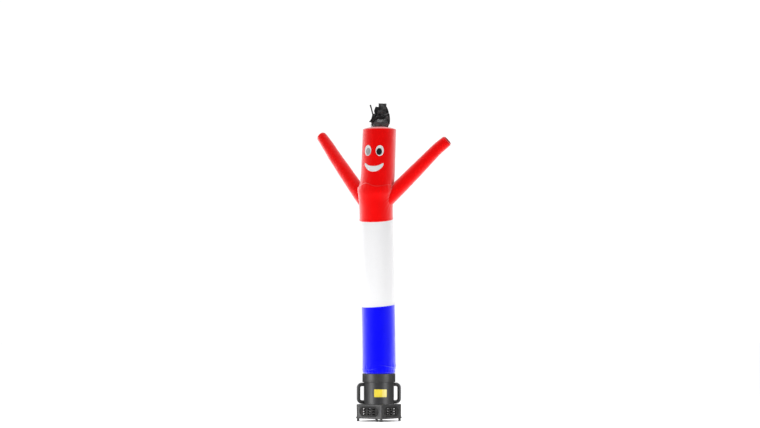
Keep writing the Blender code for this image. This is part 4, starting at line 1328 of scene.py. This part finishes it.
def round_edges(piece, width, segments, angle):
    """Small rounding on a piece's sharp edges, with smooth shading."""
    apply(piece, "BEVEL", width=width, segments=segments, limit_method="ANGLE",
          angle_limit=math.radians(angle), harden_normals=False)
    alone(piece)
    bpy.ops.object.shade_smooth_by_angle(angle=math.radians(angle))
    mark_wear(piece)


def mark_wear(piece):
    """Marks the vertices on outward corners and rounded edges, where knocks leave scuffs."""
    mesh = piece.data
    build = bmesh.new()
    build.from_mesh(mesh)
    worn = []
    for vertex in build.verts:
        bend = [edge.calc_face_angle_signed(0.0) for edge in vertex.link_edges]
        worn.append(min(1.0, max(bend, default=0.0) / math.radians(30)))
    build.free()
    mark = mesh.attributes.new("wear", "FLOAT", "POINT")
    mark.data.foreach_set("value", worn)


def upright(piece, bearing, reach, height):
    """Turns a piece about the blower's axis to a bearing and moves it out to its place."""
    alone(piece)
    piece.matrix_world = (
        Matrix.Translation(Vector(AXIS)) @ Matrix.Rotation(math.radians(bearing), 4, "Z")
        @ Matrix.Translation(Vector((0.0, -reach, height)))
    )
    bpy.ops.object.transform_apply(location=True, rotation=True, scale=True)
    return piece


def stadium(name, width, height, thick, steps=48):
    """Plate with half-round ends, standing in the X-Z plane round the origin."""
    piece = begin(bpy.ops.mesh.primitive_circle_add, name, vertices=steps, radius=height / 2,
                  fill_type="NGON", rotation=(math.pi / 2, 0.0, 0.0))
    stretch = (width - height) / 2
    for side in (-1, 1):
        pick("VERT", lambda vertex: vertex.co.x * side > 1e-5)
        bpy.ops.transform.translate(value=(side * stretch, 0.0, 0.0))
    pick("FACE", lambda face: True)
    bpy.ops.transform.translate(value=(0.0, -thick / 2, 0.0))
    bpy.ops.mesh.extrude_region_move(TRANSFORM_OT_translate={"value": (0.0, thick, 0.0)})
    close_edit(piece)
    return piece


def copy_of(piece, name):
    """A copy with a mesh of its own."""
    twin = piece.copy()
    twin.data = piece.data.copy()
    twin.name = twin.data.name = name
    bpy.context.collection.objects.link(twin)
    return twin


def make_housing():
    """Square housing: corners rounded, a lip extruded round its foot, hollowed, with a round
    hole in its top and a recessed window in each face."""
    tall = BOX_TOP - FOOT_HEIGHT
    piece = begin(
        bpy.ops.mesh.primitive_cube_add, "housing_body", size=1.0,
        location=Vector(AXIS) + Vector((0, 0, FOOT_HEIGHT + tall / 2)),
        rotation=(0.0, 0.0, math.radians(45)), scale=(BOX_SIDE, BOX_SIDE, tall),
    )
    pick("EDGE", lambda edge: abs(edge.verts[0].co.z - edge.verts[1].co.z) > tall / 2)
    bpy.ops.mesh.bevel(offset=BOX_CORNER, segments=8, affect="EDGES")
    bpy.ops.mesh.select_all(action="SELECT")
    bpy.ops.mesh.bisect(plane_co=(0, 0, LIP_TOP - 0.001), plane_no=(0, 0, 1))
    pick("FACE", lambda face: abs(face.normal.z) < 0.5 and face.calc_center_median().z < LIP_TOP)
    bpy.ops.mesh.extrude_region_shrink_fatten(
        TRANSFORM_OT_shrink_fatten={"value": LIP_PROUD, "use_even_offset": True}
    )
    pick("EDGE", lambda edge: all(abs(vertex.co.z - BOX_TOP) < 1e-5 for vertex in edge.verts))
    bpy.ops.mesh.bevel(offset=BOX_ROUNDING, segments=4, affect="EDGES")
    close_edit(piece, PLASTIC["grey"])

    room = begin(
        bpy.ops.mesh.primitive_cube_add, "room", size=1.0,
        location=Vector(AXIS) + Vector((0, 0, FOOT_HEIGHT + tall / 2)),
        rotation=(0.0, 0.0, math.radians(45)),
        scale=(BOX_SIDE - 2 * WALL, BOX_SIDE - 2 * WALL, tall - 2 * WALL),
    )
    close_edit(room)
    outlet = begin(
        bpy.ops.mesh.primitive_cylinder_add, "outlet", vertices=96, radius=INLET_RADIUS,
        depth=4 * WALL, location=Vector(AXIS) + Vector((0, 0, BOX_TOP)),
    )
    close_edit(outlet)
    cutters = [room, outlet]
    for bearing in FACE_BEARINGS:
        window = stadium("window", GUARD_WIDTH + 2 * AIR, GUARD_HEIGHT + 2 * AIR, 6 * WALL)
        cutters.append(upright(window, bearing, BOX_SIDE / 2, GUARD_MIDDLE))
        recess = stadium("recess", GUARD_WIDTH + RECESS_RIM, GUARD_HEIGHT + RECESS_RIM,
                         RECESS_THICK)
        cutters.append(upright(recess, bearing, BOX_SIDE / 2, GUARD_MIDDLE))
    for cutter in cutters:
        apply(piece, "BOOLEAN", operation="DIFFERENCE", solver="EXACT", object=cutter)
        bpy.data.objects.remove(cutter)
    round_edges(piece, 0.0006, 2, 30.0)
    ride(piece, "grey_plastic", "housing")


def make_guards():
    """Slotted plate in each window, its slots and rim rounded."""
    plate = stadium("guard_plate", GUARD_WIDTH, GUARD_HEIGHT, GUARD_THICK)
    slots = []
    for column in range(SLOT_COLUMNS):
        for row in range(SLOT_ROWS):
            slot = stadium("slot", SLOT_WIDTH, SLOT_HEIGHT, 3 * GUARD_THICK, 20)
            slot.location = (
                (column - (SLOT_COLUMNS - 1) / 2) * SLOT_PITCH_ACROSS, 0.0,
                (row - (SLOT_ROWS - 1) / 2) * SLOT_PITCH_UP,
            )
            slots.append(slot)
    cutter = join("slots", slots)
    apply(plate, "BOOLEAN", operation="DIFFERENCE", solver="EXACT", object=cutter)
    bpy.data.objects.remove(cutter)
    round_edges(plate, 0.0005, 2, 40.0)
    plate.data.materials.append(PLASTIC["vent"])
    for number, bearing in enumerate(FACE_BEARINGS):
        guard = copy_of(plate, f"guard_plate_{number + 1}")
        upright(guard, bearing, BOX_SIDE / 2 - GUARD_SET_BACK - GUARD_THICK / 2, GUARD_MIDDLE)
        ride(guard, "dark_plastic", f"guard_{number + 1}")
    bpy.data.objects.remove(plate)


def make_duct():
    """Round duct with a rounded foot and rim, and the collar that pinches the hem on it. A ring
    of edges just under the collar keeps the rim's wear above it."""
    duct = begin(
        bpy.ops.mesh.primitive_cylinder_add, "duct_tube", vertices=128, radius=DUCT_RADIUS,
        depth=DUCT_TOP - BOX_TOP - AIR, end_fill_type="NOTHING",
        location=Vector(AXIS) + Vector((0, 0, (DUCT_TOP + BOX_TOP + AIR) / 2)),
    )
    for height in (DUCT_FOOT_TOP, DUCT_RING):
        bpy.ops.mesh.select_all(action="SELECT")
        bpy.ops.mesh.bisect(plane_co=(0, 0, height), plane_no=(0, 0, 1))
    pick("FACE", lambda face: face.calc_center_median().z < DUCT_FOOT_TOP)
    bpy.ops.mesh.extrude_region_shrink_fatten(
        TRANSFORM_OT_shrink_fatten={"value": DUCT_FOOT_PROUD, "use_even_offset": True}
    )
    close_edit(duct, PLASTIC["grey"])
    apply(duct, "SOLIDIFY", thickness=WALL, offset=-1.0)
    round_edges(duct, 0.0007, 3, 30.0)
    ride(duct, "grey_plastic", "duct")

    collar = begin(
        bpy.ops.mesh.primitive_cylinder_add, "collar_ring", vertices=128, radius=COLLAR_RADIUS,
        depth=COLLAR_TOP - COLLAR_BOTTOM,
        location=Vector(AXIS) + Vector((0, 0, (COLLAR_TOP + COLLAR_BOTTOM) / 2)),
    )
    pick("FACE", lambda face: abs(face.normal.z) > 0.9)
    bpy.ops.mesh.inset(thickness=COLLAR_RADIUS - COLLAR_INNER, use_even_offset=True)
    bpy.ops.mesh.bridge_edge_loops()
    pick("EDGE", lambda edge: all(
        math.hypot(vertex.co.x - AXIS[0], vertex.co.y - AXIS[1]) > COLLAR_RADIUS - 0.0005
        for vertex in edge.verts
    ) and abs(edge.verts[0].co.z - edge.verts[1].co.z) < 1e-5)
    bpy.ops.mesh.bevel(offset=COLLAR_ROUNDING, segments=5, affect="EDGES")
    close_edit(collar, PLASTIC["dark"])
    round_edges(collar, 0.0004, 1, 40.0)
    ride(collar, "dark_plastic", "collar")


def make_handles():
    """Round bar on each side, bent to a D by extruding and spinning its end face, and cut off
    where it meets the duct."""
    low, high = HANDLE_BOTTOM + HANDLE_BAR, HANDLE_TOP - HANDLE_BAR
    out, bend = HANDLE_REACH - HANDLE_BAR, HANDLE_BEND
    start = DUCT_RADIUS - WALL
    for name, side in (("left", -1), ("right", 1)):
        piece = begin(
            bpy.ops.mesh.primitive_circle_add, f"handle_{name}_bar", vertices=28,
            radius=HANDLE_BAR, fill_type="NGON", rotation=(0.0, math.pi / 2, 0.0),
            location=Vector(AXIS) + Vector((side * start, 0.0, low)),
        )
        bpy.ops.mesh.extrude_region_move(
            TRANSFORM_OT_translate={"value": (side * (out - bend - start), 0.0, 0.0)}
        )
        for centre, run in (
            ((out - bend, low + bend), (0.0, high - low - 2 * bend)),
            ((out - bend, high - bend), (start - out + bend, 0.0)),
        ):
            bpy.ops.mesh.spin(
                steps=10, angle=side * math.pi / 2, axis=(0.0, 1.0, 0.0),
                center=(AXIS[0] + side * centre[0], AXIS[1], centre[1]),
            )
            bpy.ops.mesh.extrude_region_move(
                TRANSFORM_OT_translate={"value": (side * run[0], 0.0, run[1])}
            )
        close_edit(piece, PLASTIC["grey"])
        alone(piece)
        bpy.ops.mesh.primitive_cylinder_add(
            vertices=128, radius=DUCT_RADIUS + AIR, depth=2 * (HANDLE_TOP - HANDLE_BOTTOM),
            location=Vector(AXIS) + Vector((0, 0, (HANDLE_TOP + HANDLE_BOTTOM) / 2)),
        )
        room = bpy.context.object
        apply(piece, "BOOLEAN", operation="DIFFERENCE", solver="EXACT", object=room)
        bpy.data.objects.remove(room)
        round_edges(piece, 0.0008, 2, 40.0)
        ride(piece, "grey_plastic", f"handle_{name}")


def make_feet():
    """Short rubber foot under each corner, dished underneath."""
    foot = begin(
        bpy.ops.mesh.primitive_cylinder_add, "foot", vertices=32, radius=FOOT_RADIUS,
        depth=FOOT_HEIGHT - AIR, location=(0.0, 0.0, (FOOT_HEIGHT - AIR) / 2),
    )
    pick("FACE", lambda face: face.normal.z < -0.9)
    bpy.ops.mesh.inset(thickness=FOOT_RIM)
    bpy.ops.mesh.extrude_region_move(TRANSFORM_OT_translate={"value": (0.0, 0.0, FOOT_DISH)})
    close_edit(foot, PLASTIC["dark"])
    round_edges(foot, 0.0010, 3, 40.0)
    for number in range(4):
        twin = copy_of(foot, f"rubber_foot_{number + 1}")
        upright(twin, 90.0 * number, FOOT_REACH, 0.0)
        ride(twin, "dark_plastic", f"foot_{number + 1}")
    bpy.data.objects.remove(foot)


def make_label():
    """Bare film sticker with round corners, cut from a thin shell round the duct."""
    label = begin(
        bpy.ops.mesh.primitive_cube_add, "label_film", size=1.0,
        location=Vector(AXIS) + Vector((0.0, -DUCT_RADIUS, LABEL_MIDDLE)),
        scale=(LABEL_WIDTH, LABEL_DEPTH, LABEL_HEIGHT),
    )
    pick("EDGE", lambda edge: abs(edge.verts[0].co.y - edge.verts[1].co.y) > LABEL_DEPTH / 2)
    bpy.ops.mesh.bevel(offset=LABEL_CORNER, segments=6, affect="EDGES")
    close_edit(label, FILM)
    for name, radius, operation in (
        ("label_front", DUCT_RADIUS + AIR + LABEL_THICK, "INTERSECT"),
        ("label_back", DUCT_RADIUS + AIR, "DIFFERENCE"),
    ):
        cutter = begin(
            bpy.ops.mesh.primitive_cylinder_add, name, vertices=360, radius=radius,
            depth=4 * LABEL_HEIGHT, location=Vector(AXIS) + Vector((0.0, 0.0, LABEL_MIDDLE)),
        )
        close_edit(cutter)
        apply(label, "BOOLEAN", operation=operation, solver="EXACT", object=cutter)
        bpy.data.objects.remove(cutter)
    alone(label)
    bpy.ops.object.shade_smooth_by_angle(angle=math.radians(30.0))
    ride(label, "yellow_film", "label")


# Studio

def make_studio():
    """Pale floor, soft even light and the photo's camera."""
    bpy.ops.object.select_all(action="DESELECT")
    bpy.ops.mesh.primitive_plane_add(size=60.0, location=(0.0, 0.0, 0.0))
    floor = bpy.context.object
    floor.name = "studio_floor"
    floor.data.materials.append(plain("studio_white", (0.93, 0.93, 0.935), 0.9))
    floor.visible_glossy = False

    world = Recipe(bpy.data.worlds.new("studio"), "Background")
    seen = world.node("ShaderNodeLightPath", output="Is Camera Ray")
    mirrored = world.node("ShaderNodeLightPath", output="Is Glossy Ray")
    world.set(Color=solid_colour(1.0, 1.0, 1.0), Strength=0.60 * seen + 0.45 - 0.36 * mirrored)
    bpy.context.scene.world = world.holder

    for row in LAMPS:
        lamp = bpy.data.lights.new(row.name, "AREA")
        lamp.shape = "RECTANGLE"
        lamp.size, lamp.size_y, lamp.energy = row.wide, row.tall, row.power
        light = bpy.data.objects.new(row.name, lamp)
        angle = math.radians(row.bearing)
        target = Vector(AXIS) + Vector((0.0, 0.0, row.height))
        light.location = target + Vector((math.sin(angle), -math.cos(angle), 0.0)) * row.reach
        light.rotation_euler = (target - light.location).to_track_quat("-Z", "Y").to_euler()
        bpy.context.collection.objects.link(light)
    overhead = bpy.data.lights.new("overhead", "SUN")
    overhead.energy, overhead.angle = 2.25, math.radians(45.0)
    bpy.context.collection.objects.link(bpy.data.objects.new("overhead", overhead))

    lens = bpy.data.cameras.new("camera")
    lens.sensor_width = SENSOR_WIDTH
    lens.lens = FOCAL * SENSOR_WIDTH / PICTURE_WIDTH
    lens.clip_end = 100.0
    camera = bpy.data.objects.new("camera", lens)
    bearing = math.radians(CAMERA_BEARING)
    toward = Vector((math.sin(bearing), -math.cos(bearing), 0.0))
    camera.location = Vector(AXIS) + toward * CAMERA_REACH + Vector((0.0, 0.0, CAMERA_HEIGHT))
    pitch = math.atan((HORIZON_ROW - MIDDLE_ROW) / FOCAL)
    yaw = math.atan((MIDDLE_COLUMN - AXIS_COLUMN) / FOCAL)
    camera.rotation_euler = (math.pi / 2 + pitch, 0.0, bearing - yaw)
    bpy.context.collection.objects.link(camera)
    bpy.context.scene.camera = camera
    bpy.context.scene.view_settings.view_transform = "Standard"


NYLON = {
    "red": nylon("red_nylon", (0.715, 0.001, 0.001), (0.62, 0.001, 0.001), (0.76, 0.005, 0.005)),
    "white": nylon("white_nylon", (0.65, 0.65, 0.655), (0.57, 0.575, 0.59), (0.67, 0.67, 0.675)),
    "blue": nylon("blue_nylon", (0.001, 0.001, 0.66), (0.001, 0.001, 0.55), (0.004, 0.004, 0.71)),
    "black": nylon("black_nylon", (0.042, 0.042, 0.043), (0.020, 0.020, 0.021),
                   (0.062, 0.062, 0.063), 0.38, 0.12, 0.75),
    # Darkest black cloth: the right pupil's own colour, and painted shading on the hair strips
    # that lie in shadow
    "ink_and_painted_shade": nylon("ink_and_painted_shade_nylon", (0.010, 0.010, 0.011), (0.005, 0.005, 0.005),
                 (0.018, 0.018, 0.019), 0.42, 0.08, 0.35),
    "grey": nylon("grey_nylon", (0.30, 0.30, 0.30), (0.25, 0.25, 0.25),
                  (0.35, 0.35, 0.35), 0.46, 0.3),
}
THREAD = {
    "red": thread("red_thread", (0.78, 0.02, 0.02)),
    "white": thread("white_thread", (0.76, 0.76, 0.755)),
    "blue": thread("blue_thread", (0.02, 0.02, 0.75)),
    "ink_and_painted_shade": thread("ink_thread", (0.02, 0.02, 0.02)),
    "grey": thread("grey_thread", (0.34, 0.34, 0.34)),
}
PLASTIC = {
    "grey": moulded("grey_moulded", (0.019, 0.019, 0.020), (0.026, 0.026, 0.027),
                    (0.12, 0.12, 0.12), 0.45),
    "dark": moulded("dark_moulded", (0.019, 0.019, 0.020), (0.026, 0.026, 0.027),
                    (0.11, 0.11, 0.11), 0.45),
    "vent": moulded("vent_moulded", (0.011, 0.011, 0.011), (0.017, 0.017, 0.017),
                    (0.05, 0.05, 0.05), 0.58, 0.25),
}
FILM = film("yellow_film")

make_studio()
make_tube()
make_sleeves()
make_crown()
make_hair()
make_face()
make_housing()
make_guards()
make_duct()
make_handles()
make_feet()
make_label()
